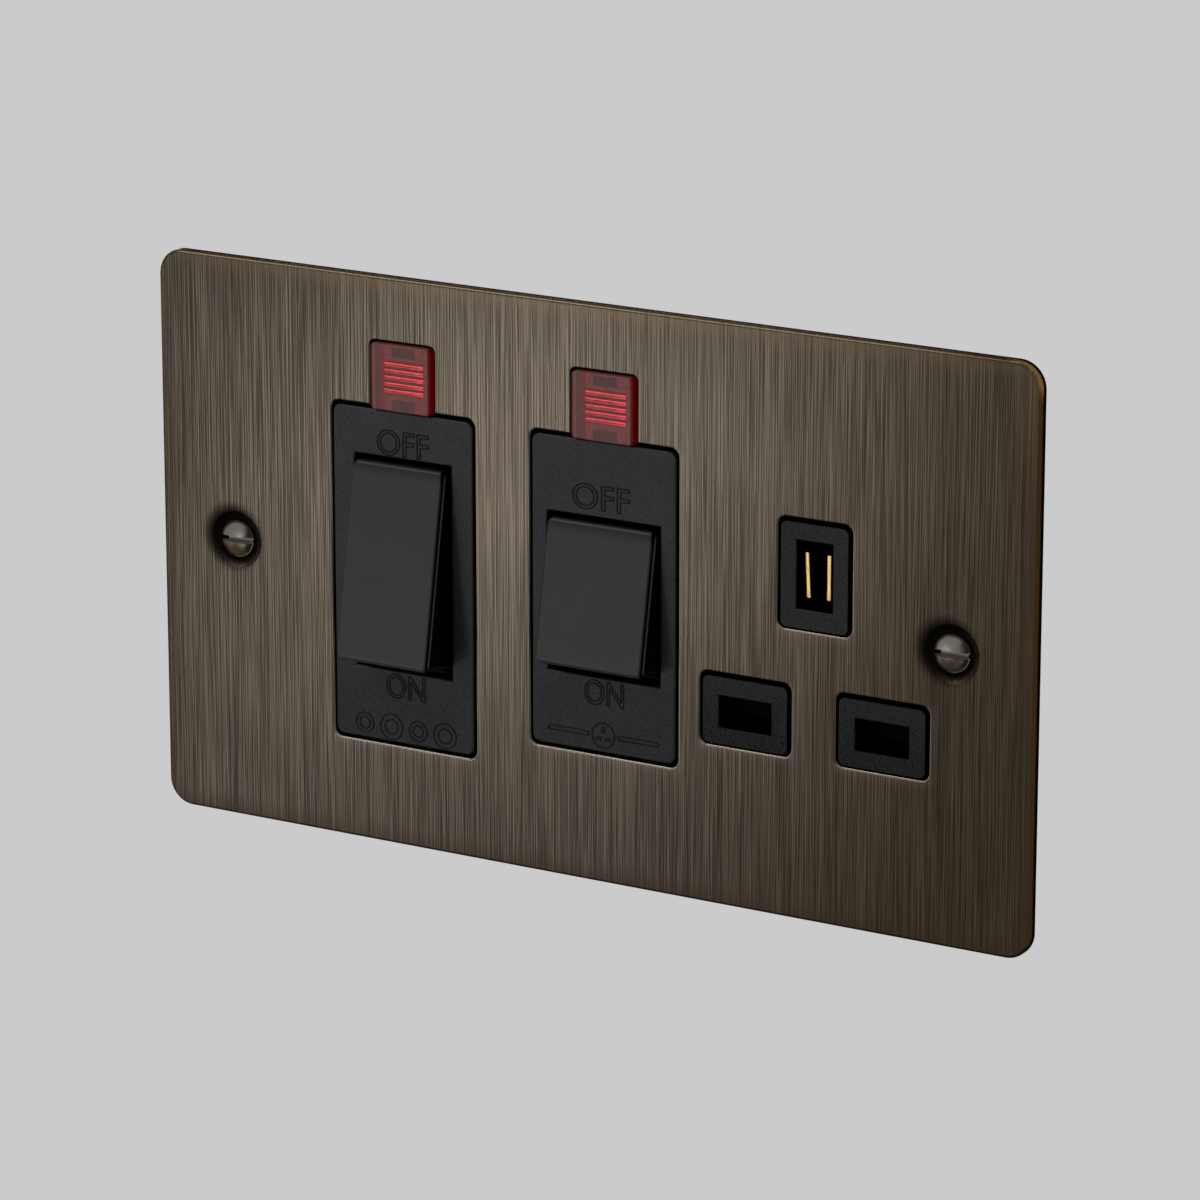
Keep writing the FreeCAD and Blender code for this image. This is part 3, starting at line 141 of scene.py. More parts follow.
# Outlet sign: ring, then three pin slots and two bars by middle from the ring's, half width, half
# height and corner
OUTLET_Z = -20.8
OUTLET_RADIUS = 1.9
OUTLET_SLOTS = (
    (0.0, 0.8, 0.22, 0.45, 0.12),
    (-0.75, -0.55, 0.42, 0.2, 0.12),
    (0.75, -0.55, 0.42, 0.2, 0.12),
    (-5.9, 0.0, 3.4, 0.32, 0.3),
    (5.9, 0.0, 3.4, 0.32, 0.3),
)

# Marks on the back: the terminals' letters, the bare field's two outlines by half width, half
# height and corner, and the mould's pins by middle; a bead is the radius of a raised line
MARK_Z = 20.6
MARK_HEIGHT = 3.7
MARK_WIDTHS = {"L": 2.1, "N": 2.8}
MARK_BEAD = 0.19
FIELD_OUTLINES = ((24.0, 11.0, 1.5), (23.2, 10.2, 1.2))
FIELD_SPACING = 0.5
FIELD_BEAD = 0.2
MOULD_PINS = (
    (-36.0, -10.0), (-36.0, 10.0), (36.0, -10.0), (36.0, 10.0),
    (-8.0, 27.0), (12.0, 27.0), (-2.0, -27.0), (24.0, -27.0),
)
MOULD_PIN_RADIUS = 1.6
MOULD_PIN_BEAD = 0.12

# Springs: radius of the wire, gap that keeps a moving end off what it presses, pitch at rest
SPRING_WIRE = 0.2
SPRING_GAP = 0.04
PLUNGER_SPRING_PITCH = 1.1
SHUTTER_SPRING_PITCH = 2.4
ACROSS = np.array([1.0, 0.0, 0.0])

# Lamps: name, place and diameter in metres, power in watts
LAMPS = (
    ("sheen", (-0.309, -0.497, -0.129), 0.08, 0.145),
    ("key", (-0.62, -0.70, 0.80), 0.5, 3.0),
    ("rim", (0.80, -0.06, 0.02), 0.10, 0.12),
    ("fill", (-0.55, 0.95, -0.10), 0.5, 8.0),
)
AIM = Vector((0.0, -1.2 * MM, 0.0))

# Sky, from the left to the right
SKY_LEFT = (0.30, 0.30, 0.30)
SKY_RIGHT = (0.008, 0.008, 0.008)

# Floor in metres, and how far out in millimetres its shadows give way to the backdrop
FLOOR_HEIGHT = -0.25
FLOOR_RADIUS = 6.0
FLOOR_SIDES = 64
FLOOR_FADE = (180.0, 380.0)

# Camera: its sensor in millimetres, and how far it is moved to frame the object as photographed
SENSOR_WIDTH = 36.0
CAMERA_RIGHT = 2.1 * MM
CAMERA_DOWN = 1.0 * MM


# Shader maths: sockets wrapped so that sums are written as expressions

class Value:
    """A number socket; arithmetic on it adds Math nodes."""

    def __init__(self, graph, socket):
        self.graph = graph
        self.socket = socket

    def __add__(self, other):
        return self.graph.math("ADD", self, other)

    def __sub__(self, other):
        return self.graph.math("SUBTRACT", self, other)

    def __rsub__(self, other):
        return self.graph.math("SUBTRACT", other, self)

    def __mul__(self, other):
        return self.graph.math("MULTIPLY", self, other)

    def __truediv__(self, other):
        return self.graph.math("DIVIDE", self, other)

    def __pow__(self, other):
        return self.graph.math("POWER", self, other)

    def __abs__(self):
        return self.graph.math("ABSOLUTE", self)

    __radd__ = __add__
    __rmul__ = __mul__


class Graph:
    """The nodes of a material or of the world."""

    def __init__(self, tree):
        self.tree = tree

    def node(self, kind, settings=None, inputs=None):
        """Add a node: its settings are set first, then its sockets are given values or links."""
        made = self.tree.nodes.new(kind)
        for key, value in (settings or {}).items():
            setattr(made, key, value)
        for key, value in (inputs or {}).items():
            self.feed(made.inputs[key], value)
        return made

    def feed(self, socket, value):
        if isinstance(value, Value):
            value = value.socket
        if isinstance(value, bpy.types.NodeSocket):
            self.tree.links.new(value, socket)
        else:
            socket.default_value = value

    def math(self, operation, *operands, clamp=False):
        made = self.node("ShaderNodeMath", {"operation": operation, "use_clamp": clamp},
                         dict(enumerate(operands)))
        return Value(self, made.outputs[0])

    def greatest(self, first, *others):
        for other in others:
            first = self.math("MAXIMUM", first, other)
        return first

    def place(self):
        """Object coordinates in millimetres, as three numbers."""
        coordinates = self.node("ShaderNodeTexCoord").outputs["Object"]
        parts = self.node("ShaderNodeSeparateXYZ", inputs={"Vector": coordinates})
        return [Value(self, parts.outputs[axis]) / MM for axis in "XYZ"]

    def vector(self, x, y, z):
        return self.node("ShaderNodeCombineXYZ", inputs={"X": x, "Y": y, "Z": z}).outputs[0]

    def noise(self, place, density, detail, roughness=0.5, shift=0.0):
        """Noise from 0 to 1. density says how often it changes in a millimetre, along all three
        axes or along each, and shift moves it along X so that two kinds differ."""
        x, y, z = (axis * times for axis, times in zip(place, np.broadcast_to(density, 3).tolist()))
        made = self.node("ShaderNodeTexNoise", {"normalize": True}, {
            "Vector": self.vector(x + shift, y, z), "Scale": 1.0, "Detail": detail,
            "Roughness": roughness})
        return Value(self, made.outputs["Fac"])

    def step(self, value, low, high):
        """0 below low, 1 above high and smooth between; low may be the larger."""
        made = self.node("ShaderNodeMapRange", {"interpolation_type": "SMOOTHSTEP"}, {
            "Value": value, "From Min": low, "From Max": high})
        return Value(self, made.outputs[0])

    def span(self, value, low, high):
        """Straight change from low to high as value goes from 0 to 1."""
        return value * (high - low) + low

    def mix(self, factor, first, second):
        """Colour between two colours."""
        made = self.node("ShaderNodeMix", {"data_type": "RGBA"}, {"Factor": factor})
        for socket, colour in ((made.inputs[6], first), (made.inputs[7], second)):
            self.feed(socket, (*colour, 1.0) if isinstance(colour, tuple) else colour)
        return made.outputs[2]

    def distance(self, across, up):
        """Root of the sum of two squares."""
        return self.math("SQRT", across * across + up * up)

    def outside(self, x, z, middle_x, middle_z, half_width, half_height, corner):
        """Distance outside a rectangle with round corners, below nought inside it."""
        across = self.math("MAXIMUM", abs(x - middle_x) - (half_width - corner), 0.0)
        up = self.math("MAXIMUM", abs(z - middle_z) - (half_height - corner), 0.0)
        return self.distance(across, up) - corner

    def looked_at(self):
        """1 for the rays that show the backdrop: straight, mirrored or through glass."""
        path = self.node("ShaderNodeLightPath")
        return self.greatest(*(path.outputs[f"Is {kind} Ray"]
                               for kind in ("Camera", "Glossy", "Transmission")))


class Finish(Graph):
    """A material with a Principled shader."""

    def __init__(self, name, colour, roughness, metallic=0.0):
        self.material = bpy.data.materials.new(name)
        self.material.use_nodes = True
        self.material.diffuse_color = (*colour, 1.0)
        super().__init__(self.material.node_tree)
        self.shader = self.tree.nodes["Principled BSDF"]
        self.set("Base Color", (*colour, 1.0))
        self.set("Roughness", roughness)
        self.set("Metallic", metallic)

    def set(self, name, value):
        self.feed(self.shader.inputs[name], value)

    def bump(self, height, strength, distance):
        made = self.node("ShaderNodeBump", inputs={
            "Strength": strength, "Distance": distance * MM, "Height": height})
        self.set("Normal", made.outputs[0])


def shaded(colour, share):
    """The colour times a share, or times a share for each of its channels."""
    return tuple((np.array(tuple(colour)) * share).tolist())


def wear(names, material):
    """Give CAD nodes a finish."""
    for name in names:
        mesh = NODES[name].data
        mesh.materials.clear()
        mesh.materials.append(material)


# Finishes

def smoked_metal(name, settings):
    """Smoked bronze: long upright brush marks, browner towards the edges; paler and greyer on the
    upper left as a painted sheen and browner and darker towards the lower right as painted shade; a
    painted highlight along the openings' lower and right edges, and painted shade on their walls
    and in the dimples, with a dark halo round each screw."""
    bronze = tuple(settings.bronze)
    graph = Finish(name, bronze, settings.bronze_roughness, 1.0)
    place = graph.place()
    x, y, z = place

    # Marks: fine pairs and hairs that fade in and out, on faint broader ones; the plate's left
    # side is a little darker above and paler below
    fine = graph.noise(place, FINE_BRUSH, 0.0)
    beside = graph.noise(place, FINE_BRUSH, 0.0, shift=0.7)
    hair = graph.noise(place, HAIR_BRUSH, 0.0, shift=23.0)
    thread = graph.noise(place, THREAD_BRUSH, 0.0, shift=40.0)
    broad = graph.noise(place, BROAD_BRUSH, 1.0, shift=9.0)
    fade = graph.noise(place, FADE_BRUSH, 0.0, shift=70.0)
    mark = ((fine - beside) * 1.5 + (hair - 0.5) * 2.2) * graph.span(fade, -0.1, 2.1)
    mark = mark + (thread - 0.5) * 0.3 + (broad - 0.5) * 0.12
    left = graph.step(x, -25.0, -60.0)
    mark = mark - left * graph.step(z, -30.0, 25.0) * 0.07
    mark = mark + left * graph.step(z, -5.0, -38.0) * 0.09
    light = graph.math("ADD", mark, 0.5, clamp=True) ** 1.6
    # Painted sheen and shade: the paler, greyer copy on the upper left stands for a sheen, and the
    # browner, darker copy towards the lower right for shade
    plain = graph.mix(light, shaded(bronze, SHEEN_COPY_DARK), shaded(bronze, SHEEN_COPY_LIGHT))
    shade_copy = graph.mix(light, shaded(bronze, SHADE_COPY_DARK), shaded(bronze, SHADE_COPY_LIGHT))
    colour = graph.mix(graph.step(x * 0.8 - z * 0.35, 10.0, 62.0) * 0.85, plain, shade_copy)

    # Edge: rubbed in uneven streaks, brown on the right with a gold upper corner
    outline = graph.outside(x, z, 0.0, 0.0, *PLATE_HALF, PLATE_CORNER)
    near = graph.step(outline + (fine - 0.5) * 4.5, -3.4, 0.4)
    rubbed = graph.mix(graph.step(z, 20.0, 41.0), LOW_EDGE, tuple(settings.rubbed_edge))
    colour = graph.mix(near * settings.edge_wear, colour, rubbed)
    band = outline + (fine - 0.5) * 0.6
    rim = graph.step(band, -1.0, -0.1) * graph.step(x, 55.0, 71.5)
    gold = graph.step(x + z, 111.0, 114.2) * graph.step(band, -0.5, -0.1)
    colour = graph.mix(rim, colour, graph.mix(gold, RIM_BROWN, CORNER_GOLD))

    # Painted highlight along each opening's lower and right edges
    for opening in OPENINGS:
        middle_x, middle_z, half_width, half_height = opening
        away = graph.outside(x, z, *opening, OPENING_CORNER)
        below = graph.step(middle_z - z, half_height - 0.6, half_height)
        beyond = graph.step(x - middle_x, half_width - 0.6, half_width)
        edge_highlight = graph.step(abs(away - 0.2), 0.2, 0.1) * 0.45 + graph.step(away, 1.8, 0.0) * 0.10
        edge_highlight = edge_highlight * graph.greatest(below, beyond * 0.6) * graph.step(away, 0.0, 0.08)
        colour = graph.mix(edge_highlight, colour, OPENING_HIGHLIGHT)

    # Painted shade on the walls and back, but not on the outer edge's side, and in the dimples; and
    # a dark halo round each screw
    inside = graph.step(outline, -0.8, -1.2)
    dark = graph.greatest(graph.step(y, -1.95, -1.55) * inside, graph.step(y, -1.72, -1.42))
    for screw_x in (-SCREW_X, SCREW_X):
        halo = graph.distance(x - (screw_x - 0.65), z - 0.4) + (fine - 0.5) * 0.4
        dimple = graph.distance(x - screw_x, z)
        dark = graph.greatest(dark, graph.step(halo, 5.9, 3.3), graph.step(dimple, 4.6, 3.3))
    graph.set("Base Color", graph.mix(dark * 0.98, colour, SHADE_AND_HALO_BLACK))
    low, high = settings.bronze_roughness - 0.03, settings.bronze_roughness + 0.03
    graph.set("Roughness", graph.span(hair, low, high) + dark * 0.3)
    graph.set("Specular Tint", (0.32, 0.29, 0.25, 1.0))
    graph.bump(fine * 0.5 + hair * 0.5, 0.2, 0.03)
    return graph.material


def turned_bronze(settings):
    """Screw heads: the plate's metal with uneven patina, browner towards the bottom as painted
    shade; painted shade on the right and at the rim, a painted shadow under the driver's slot, a
    painted glint on the lower right rim, and paler in the slot."""
    graph = Finish("screw_bronze", tuple(settings.bronze), 0.3, 1.0)
    place = graph.place()
    x, y, z = place
    blotch = graph.noise(place, 0.9, 3.0, 0.55)
    across = sum(graph.math("COMPARE", x, screw_x, 20.0) * (x - screw_x)
                 for screw_x in (-SCREW_X, SCREW_X))
    reach = graph.distance(across, z)
    # Uneven patina, and browner and darker towards the bottom as painted shade
    patina_and_shade = graph.step((blotch - 0.5) * 1.6 - z * 0.3, -0.3, 0.6)
    colour = graph.mix(patina_and_shade, (0.21, 0.185, 0.16), (0.075, 0.050, 0.030))
    # Painted shade on the right of each head and at its rim, and a painted shadow under the
    # driver's slot
    dull = graph.greatest(
        graph.step(across + (blotch - 0.5) * 1.2, 0.7, 2.2),
        graph.step(reach + (blotch - 0.5) * 0.5, 2.3, 2.75),
        graph.step(abs(z + 0.46), 0.10, 0.05))
    colour = graph.mix(dull * 0.9, colour, (0.006, 0.005, 0.004))
    # Painted highlight on the lower right rim
    glint = graph.step(abs(reach - 2.66), 0.09, 0.03) * graph.step(across - z, 1.6, 2.6)
    colour = graph.mix(glint, colour, (0.20, 0.16, 0.10))
    groove = graph.step(abs(z), 0.40, 0.38) * graph.step(y, -2.5, -2.4)
    graph.set("Base Color", graph.mix(groove, colour, (0.34, 0.32, 0.30)))
    graph.set("Roughness", graph.span(blotch, 0.24, 0.40) + groove * 0.25)
    graph.bump(blotch, 0.25, 0.06)
    return graph.material


def moulded(name, colour, roughness, grain=9.0, depth=0.3, dull=0.0, shading=None):
    """Fine-grained moulded plastic, a little uneven in tone and gloss. The share given for painted
    shade is near black and reflects nothing. shading adds to that share and to the roughness where
    a piece of its own has darker places: it takes the graph, both of them, the place and the fine
    grain."""
    graph = Finish(name, tuple(colour), roughness)
    place = graph.place()
    fine = graph.noise(place, grain, 3.0, 0.6)
    cloud = graph.noise(place, 0.12, 3.0)
    uneven = graph.step(cloud * 0.6 + fine * 0.4, 0.3, 0.7)
    tint = graph.mix(uneven, shaded(colour, 0.75), shaded(colour, 1.3))
    share = uneven * 0.06 + dull
    rough = graph.span(cloud, roughness - 0.06, roughness + 0.08)
    if shading:
        share, rough = shading(graph, share, rough, place, fine)
    share = graph.math("ADD", share, 0.0, clamp=True)
    graph.set("Base Color", graph.mix(share, tint, (0.0012, 0.0012, 0.0012)))
    graph.set("Roughness", rough)
    graph.set("Metallic", share)
    graph.bump(fine, depth, 0.02)
    return graph.material


def front_shading(graph, share, rough, place, fine):
    """Switch fronts: dull flecks, duller pin islands, darker towards the bottom, and painted shade
    in the slots and recesses.
    """
    x, y, z = place
    # Painted shade inside the slots and recesses, behind the face
    recess_shade = graph.step(y, -2.3, -1.8)
    share = share + graph.step(fine, 0.42, 0.66) * 0.3 + recess_shade
    share = share + graph.step(x, 14.0, 20.0) * 0.3 + graph.step(z, -4.0, -20.0) * 0.2
    return share, rough + recess_shade * 0.4


def rocker_shading(low, high):
    """For a rocker between two corners of its box: painted shade on its sides and along its right
    edge, a painted shadow at its crown, and a thin glint inside the shaded right edge, where the
    painted shade is left out."""
    middle = (low.x + high.x) / 2 / MM
    half = (high.x - low.x) / 2 / MM - TRUNNION_LENGTH
    crown = high.z / MM

    def shading(graph, share, rough, place, fine):
        across, z = place[0] - middle, place[2]
        # Painted shade: the sides and right edge are darkened, a thin line inside the edge is left
        # out for the glint, and a painted shadow lies along the crown
        edge = graph.step(across, half - 1.0, half - 0.35)
        glint = graph.step(abs(across - half + 0.16), 0.11, 0.05) * 0.8
        right_side = graph.step(across, half - 0.08, half - 0.03)
        left_side = graph.step(across, 0.1 - half, 0.04 - half) * 0.6
        dark = graph.greatest(right_side, left_side, edge - glint)
        return share + dark + graph.step(z, crown - 2.4, crown) * 0.5, rough

    return shading


def lens_red(settings, middle_x, low, high):
    """Clear red moulding. Through its face show a window of prism ribs, whose brightness and glow
    are painted light, a darker pocket above and below it, and on the left a strip and a pale
    streak; its sides are painted shade, the right one with a painted glow."""
    plain = tuple(settings.lens)
    graph = Finish("neon_red", plain, 0.32)
    place = graph.place()
    across = place[0] - middle_x
    up = place[2] - (low + high) / 2
    grain = graph.noise(place, 2.2, 3.0, 0.6)
    ragged = graph.noise(place, (1.1, 0.0, 4.0), 3.0, 0.6)

    beside, above = abs(across - 0.7), up - 0.25
    window = graph.step(beside, 3.6, 3.35) * graph.step(abs(above), 2.7, 2.5)
    swell = graph.step(across, 1.5, 4.1)
    turn = (above + (ragged - 0.5) * 0.22) * (2 * math.pi)
    bar = graph.step(graph.math("COSINE", turn) + swell * 0.12, 0.70, 0.98)
    trail = graph.step(graph.math("COSINE", turn + 2.1), 0.75, 1.0) * graph.span(swell, 0.4, 1.0)
    ends = graph.step(beside + (ragged - 0.5) * 0.5, 3.5, 3.2)
    ribs = graph.greatest(bar, trail) * window * ends * graph.span(ragged, 0.5, 1.3)

    pocket = graph.step(abs(across - 0.6), 2.1, 1.9) * graph.step(abs(abs(up) - 4.0), 0.85, 0.7)
    strip = graph.step(abs(across + 3.75), 0.6, 0.4)
    streak = graph.step(abs(across + 2.95), 0.45, 0.2)
    colour = graph.mix(window * 0.6, plain, tuple(settings.lens_ribs))
    colour = graph.mix(graph.step(grain, 0.35, 0.7) * 0.35, colour, shaded(plain, 0.4))
    colour = graph.mix(streak * 0.6, colour, (0.42, 0.05, 0.05))
    colour = graph.mix(graph.greatest(pocket * 0.75, strip * 0.6), colour, (0.14, 0.10, 0.09))
    # Painted shade on the face's sides
    colour = graph.mix(graph.step(abs(across), 4.6, 4.95), colour, (0.03, 0.001, 0.001))
    # Painted light: bright, glowing ribs, and a painted glow on the right side
    graph.set("Base Color", graph.mix(ribs, colour, (0.90, 0.06, 0.07)))
    side_glow = graph.mix(graph.step(across, 4.7, 4.95), (0.0, 0.0, 0.0), (0.07, 0.0, 0.0))
    graph.set("Emission Color", graph.mix(ribs, side_glow, (1.0, 0.07, 0.08)))
    graph.set("Emission Strength", 0.85)
    graph.set("Specular IOR Level", 0.15)
    graph.bump(ribs * 0.5 + grain * 0.2, 0.1, 0.04)
    return graph.material


def sheet_metal(name, colour, roughness, shading=None):
    """Pressed or turned metal with faint tarnish; shading gives how dark it is at each place."""
    colour = tuple(colour)
    graph = Finish(name, colour, roughness, 1.0)
    place = graph.place()
    fine = graph.noise(place, (3.0, 3.0, 0.6), 3.0, 0.6)
    cloud = graph.noise(place, 0.25, 3.0, 0.55)
    tone = graph.mix(graph.step(cloud, 0.35, 0.7), shaded(colour, 0.62), colour)
    if shading:
        tone = graph.mix(shading(graph, place, cloud), tone, shaded(colour, 0.03))
    graph.set("Base Color", tone)
    graph.set("Roughness", graph.span(fine, roughness - 0.08, roughness + 0.14))
    graph.bump(fine, 0.12, 0.02)
    return graph.material


def leaf_shading(graph, place, cloud):
    """Earth leaves: painted shade on all but their front edges, which stay bright. The left one
    leans.
    """
    x, y, z = place
    right = abs(x - (EARTH_X + LEAF_SPREAD))
    left = abs(x - (EARTH_X - LEAF_SPREAD) + (z - LEAF_FOOT) * LEAF_LEAN)
    nearest = graph.math("MINIMUM", left, right) + (cloud - 0.5) * 0.3
    return graph.greatest(graph.step(y, -0.95, -0.7), graph.step(nearest, 0.15, 0.34))


def lamp_glass():
    """Clear glass of the neon lamps, unevenly clouded."""
    graph = Finish("lamp_glass", (0.85, 0.78, 0.7), 0.08)
    cloud = graph.noise(graph.place(), 1.0, 2.0)
    graph.set("Base Color", graph.mix(cloud, (0.5, 0.4, 0.34), (0.92, 0.86, 0.8)))
    graph.set("Coat Weight", 0.8)
    return graph.material


def soft_foam():
    """Closed-cell foam: round pores in a dark sheet."""
    graph = Finish("foam", (0.02, 0.02, 0.021), 0.9)
    cells = graph.node("ShaderNodeTexVoronoi", {"feature": "F1"}, {
        "Vector": graph.vector(*graph.place()), "Scale": 2.4})
    pores = graph.step(cells.outputs["Distance"], 0.1, 0.5)
    graph.set("Base Color", graph.mix(pores, (0.006, 0.006, 0.006), (0.035, 0.035, 0.037)))
    graph.bump(pores, 0.5, 0.12)
    return graph.material


# Pieces worked out as surfaces

def mesh_piece(name, points, faces, material, body):
    """A new smooth piece from points in metres, riding on a body."""
    mesh = bpy.data.meshes.new(name)
    mesh.from_pydata(points.tolist(), [], faces)
    mesh.polygons.foreach_set("use_smooth", np.ones(len(mesh.polygons), dtype=bool))
    mesh.update()
    mesh.materials.append(material)
    piece = bpy.data.objects.new(name, mesh)
    bpy.context.scene.collection.objects.link(piece)
    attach(piece, body)
    return piece


def closed_tubes(paths, radius, depth, sides=8):
    """Round bead along closed paths on a face: each point of a path is moved out along the
    path's own normal by radius * cos(turn) and along Y by radius * sin(turn)."""
    turn = np.linspace(0.0, 2 * math.pi, sides, endpoint=False)
    here, right = np.arange(sides), (np.arange(sides) + 1) % sides
    points, faces, start = [], [], 0
    for path in paths:
        ahead = np.roll(path, -1, axis=0) - np.roll(path, 1, axis=0)
        ahead /= np.maximum(np.linalg.norm(ahead, axis=1, keepdims=True), 1e-9)
        normal = np.stack([-ahead[:, 1], ahead[:, 0]], axis=1)
        flat = path[:, None, :] + radius * np.cos(turn)[None, :, None] * normal[:, None, :]
        y = np.broadcast_to(depth + radius * np.sin(turn), flat.shape[:2])
        points.append(np.stack([flat[..., 0], y, flat[..., 1]], axis=-1).reshape(-1, 3))
        row = np.arange(len(path))[:, None] * sides
        after = (row + sides) % (len(path) * sides)
        quads = np.stack([row + here, after + here, after + right, row + right], axis=-1)
        faces.append(quads.reshape(-1, 4) + start)
        start += len(path) * sides
    return np.concatenate(points) * MM, np.concatenate(faces).tolist()


def add_beads(name, paths, radius, depth, material):
    """Raised lines of a fixed moulding, half sunk in the face at a depth."""
    points, faces = closed_tubes(paths, radius, depth)
    mesh_piece(name, points, faces, material, "unit")


def coil_spring(foot, axis, length, radius, pitch, steps=30, sides=10):
    """Round wire carried along a helix: it climbs by the wire's own thickness in the closed coil
    at either end and by an even pitch between them. Its cut ends are flat."""
    closed = 2 * SPRING_WIRE
    rise = length - 2 * SPRING_WIRE - 2 * closed
    turns = max(2, round(rise / pitch))
    turn = np.linspace(0.0, turns + 2.0, (turns + 2) * steps + 1)
    height = SPRING_WIRE + np.interp(turn, [0.0, 1.0, turns + 1.0, turns + 2.0],
                                     [0.0, closed, closed + rise, 2 * closed + rise])
    angle = turn[:, None] * 2 * math.pi
    outward = np.cos(angle) * ACROSS + np.sin(angle) * np.cross(axis, ACROSS)
    line = foot + (radius - SPRING_WIRE) * outward + height[:, None] * axis
    ahead = np.gradient(line, axis=0)
    ahead /= np.linalg.norm(ahead, axis=1, keepdims=True)
    beside = np.cross(ahead, outward)
    around = np.linspace(0.0, 2 * math.pi, sides, endpoint=False)[None, :, None]
    points = line[:, None] + SPRING_WIRE * (
        np.cos(around) * outward[:, None] + np.sin(around) * beside[:, None])
    row = np.arange(len(turn) - 1)[:, None] * sides
    here, right = row + np.arange(sides), row + (np.arange(sides) + 1) % sides
    quads = np.stack([here, right, right + sides, here + sides], axis=-1)
    last = (len(turn) - 1) * sides
    ends = [list(range(sides))[::-1], list(range(last, last + sides))]
    return points.reshape(-1, 3) * MM, quads.reshape(-1, 4).tolist() + ends


def add_spring(name, joint, material):
    """Coil in place of a CAD spring, whose box gives its size. It rides on the joint's parent and
    keeps its shape."""
    axis = np.array(joint["axis"], float)
    basis = np.stack([ACROSS, np.cross(axis, ACROSS), axis])
    solid = np.array([vertex.co for vertex in NODES[name].data.vertices]) @ basis.T / MM
    low, high = solid.min(axis=0), solid.max(axis=0)
    low[2] += SPRING_GAP
    middle = (low + high) / 2
    length = high[2] - low[2]
    travel = joint["range_m"][1] / MM
    foot = np.array([middle[0], middle[1], low[2]]) @ basis
    pitch = SHUTTER_SPRING_PITCH if name == "shutter_spring" else PLUNGER_SPRING_PITCH
    points, faces = coil_spring(foot, axis, length, (high[0] - low[0]) / 2, pitch)
    piece = mesh_piece(f"{name}_coil", points, faces, material, joint["parent"])
    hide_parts(name)
    tuple((foot + axis * length) * MM)
    (length - travel) / length
    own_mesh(piece)


def ring_path(x, z, radius, count=40):
    """Circle, as points in turn."""
    turn = np.linspace(0.0, 2 * math.pi, count, endpoint=False)
    return np.stack([x + radius * np.cos(turn), z + radius * np.sin(turn)], axis=1)


def slot_path(x, z, half_width, half_height, corner, count=5):
    """Rectangle with round corners, as points in turn."""
    turn = np.linspace(0.0, math.pi / 2, count)
    corners = []
    for quarter, (sign_x, sign_z) in enumerate(((1, 1), (-1, 1), (-1, -1), (1, -1))):
        angle = turn + quarter * math.pi / 2
        corners.append(np.stack([
            x + sign_x * (half_width - corner) + corner * np.cos(angle),
            z + sign_z * (half_height - corner) + corner * np.sin(angle)], axis=1))
    return np.concatenate(corners)


def earth_paths(x, z):
    """Earth sign: a stem over three bars, each shorter than the one above it."""
    bars = [slot_path(x, z + 0.1 - 0.85 * row, 1.7 - 0.55 * row, 0.2, 0.12) for row in range(3)]
    return [slot_path(x, z + 1.3, 0.2, 0.9, 0.12), *bars]


def letter_paths(word, height, width):
    """Outlines of a word's letters, fitted to a height and a width and centred on nought. They
    are the edges that only one face of the flat letters has, followed round."""
    curve = bpy.data.curves.new("word", "FONT")
    curve.body = word
    curve.resolution_u = 6
    carrier = bpy.data.objects.new("word", curve)
    bpy.context.scene.collection.objects.link(carrier)
    bpy.context.view_layer.update()
    shape = bpy.data.meshes.new_from_object(carrier)
    bpy.data.objects.remove(carrier)
    uses = {}
    for polygon in shape.polygons:
        for key in polygon.edge_keys:
            uses[key] = uses.get(key, 0) + 1
    border = {}
    for (a, b), count in uses.items():
        if count == 1:
            border.setdefault(a, []).append(b)
            border.setdefault(b, []).append(a)
    flat = np.array([vertex.co[:2] for vertex in shape.vertices])
    paths, left = [], set(border)
    while left:
        first = here = min(left)
        loop, before = [], None
        while here in left:
            left.discard(here)
            loop.append(here)
            onward = [n for n in border[here] if n != before and (n in left or n == first)]
            before, here = here, onward[0] if onward else first
        if len(loop) > 2:
            paths.append(flat[loop])
    low = np.min([path.min(axis=0) for path in paths], axis=0)
    high = np.max([path.max(axis=0) for path in paths], axis=0)
    scale = np.array([width, height]) / (high - low)
    return [(path - (low + high) / 2) * scale for path in paths]


def even(path, spacing):
    """The same closed path with points a spacing or a little more apart, and at least 8."""
    length = np.linalg.norm(np.roll(path, -1, axis=0) - path, axis=1)
    total = np.concatenate([[0.0], np.cumsum(length)])
    loop = np.concatenate([path, path[:1]])
    count = max(8, int(total[-1] / spacing))
    place = np.linspace(0.0, total[-1], count, endpoint=False)
    return np.stack([np.interp(place, total, loop[:, axis]) for axis in (0, 1)], axis=1)


# Stage

def add_floor(settings):
    """Flat round floor under the object: it takes shadows near the object and has the backdrop's
    colour farther out."""
    graph = Finish("floor", tuple(settings.backdrop), 0.9)
    x, y, z = graph.place()
    far = graph.step(graph.distance(x, y), *FLOOR_FADE)
    glow = graph.node("ShaderNodeEmission", inputs={
        "Color": (*settings.backdrop, 1.0), "Strength": 1.0})
    blend = graph.node("ShaderNodeMixShader", inputs={
        0: far * graph.looked_at(), 1: graph.shader.outputs[0], 2: glow.outputs[0]})
    graph.feed(graph.tree.nodes["Material Output"].inputs["Surface"], blend.outputs[0])
    turn = np.linspace(0.0, 2 * math.pi, FLOOR_SIDES, endpoint=False)
    points = np.stack([FLOOR_RADIUS * np.cos(turn), FLOOR_RADIUS * np.sin(turn),
                       np.full(FLOOR_SIDES, FLOOR_HEIGHT)], axis=1)
    mesh = bpy.data.meshes.new("floor")
    mesh.from_pydata(points.tolist(), [], [list(range(FLOOR_SIDES))])
    mesh.materials.append(graph.material)
    floor = bpy.data.objects.new("floor", mesh)
    bpy.context.scene.collection.objects.link(floor)


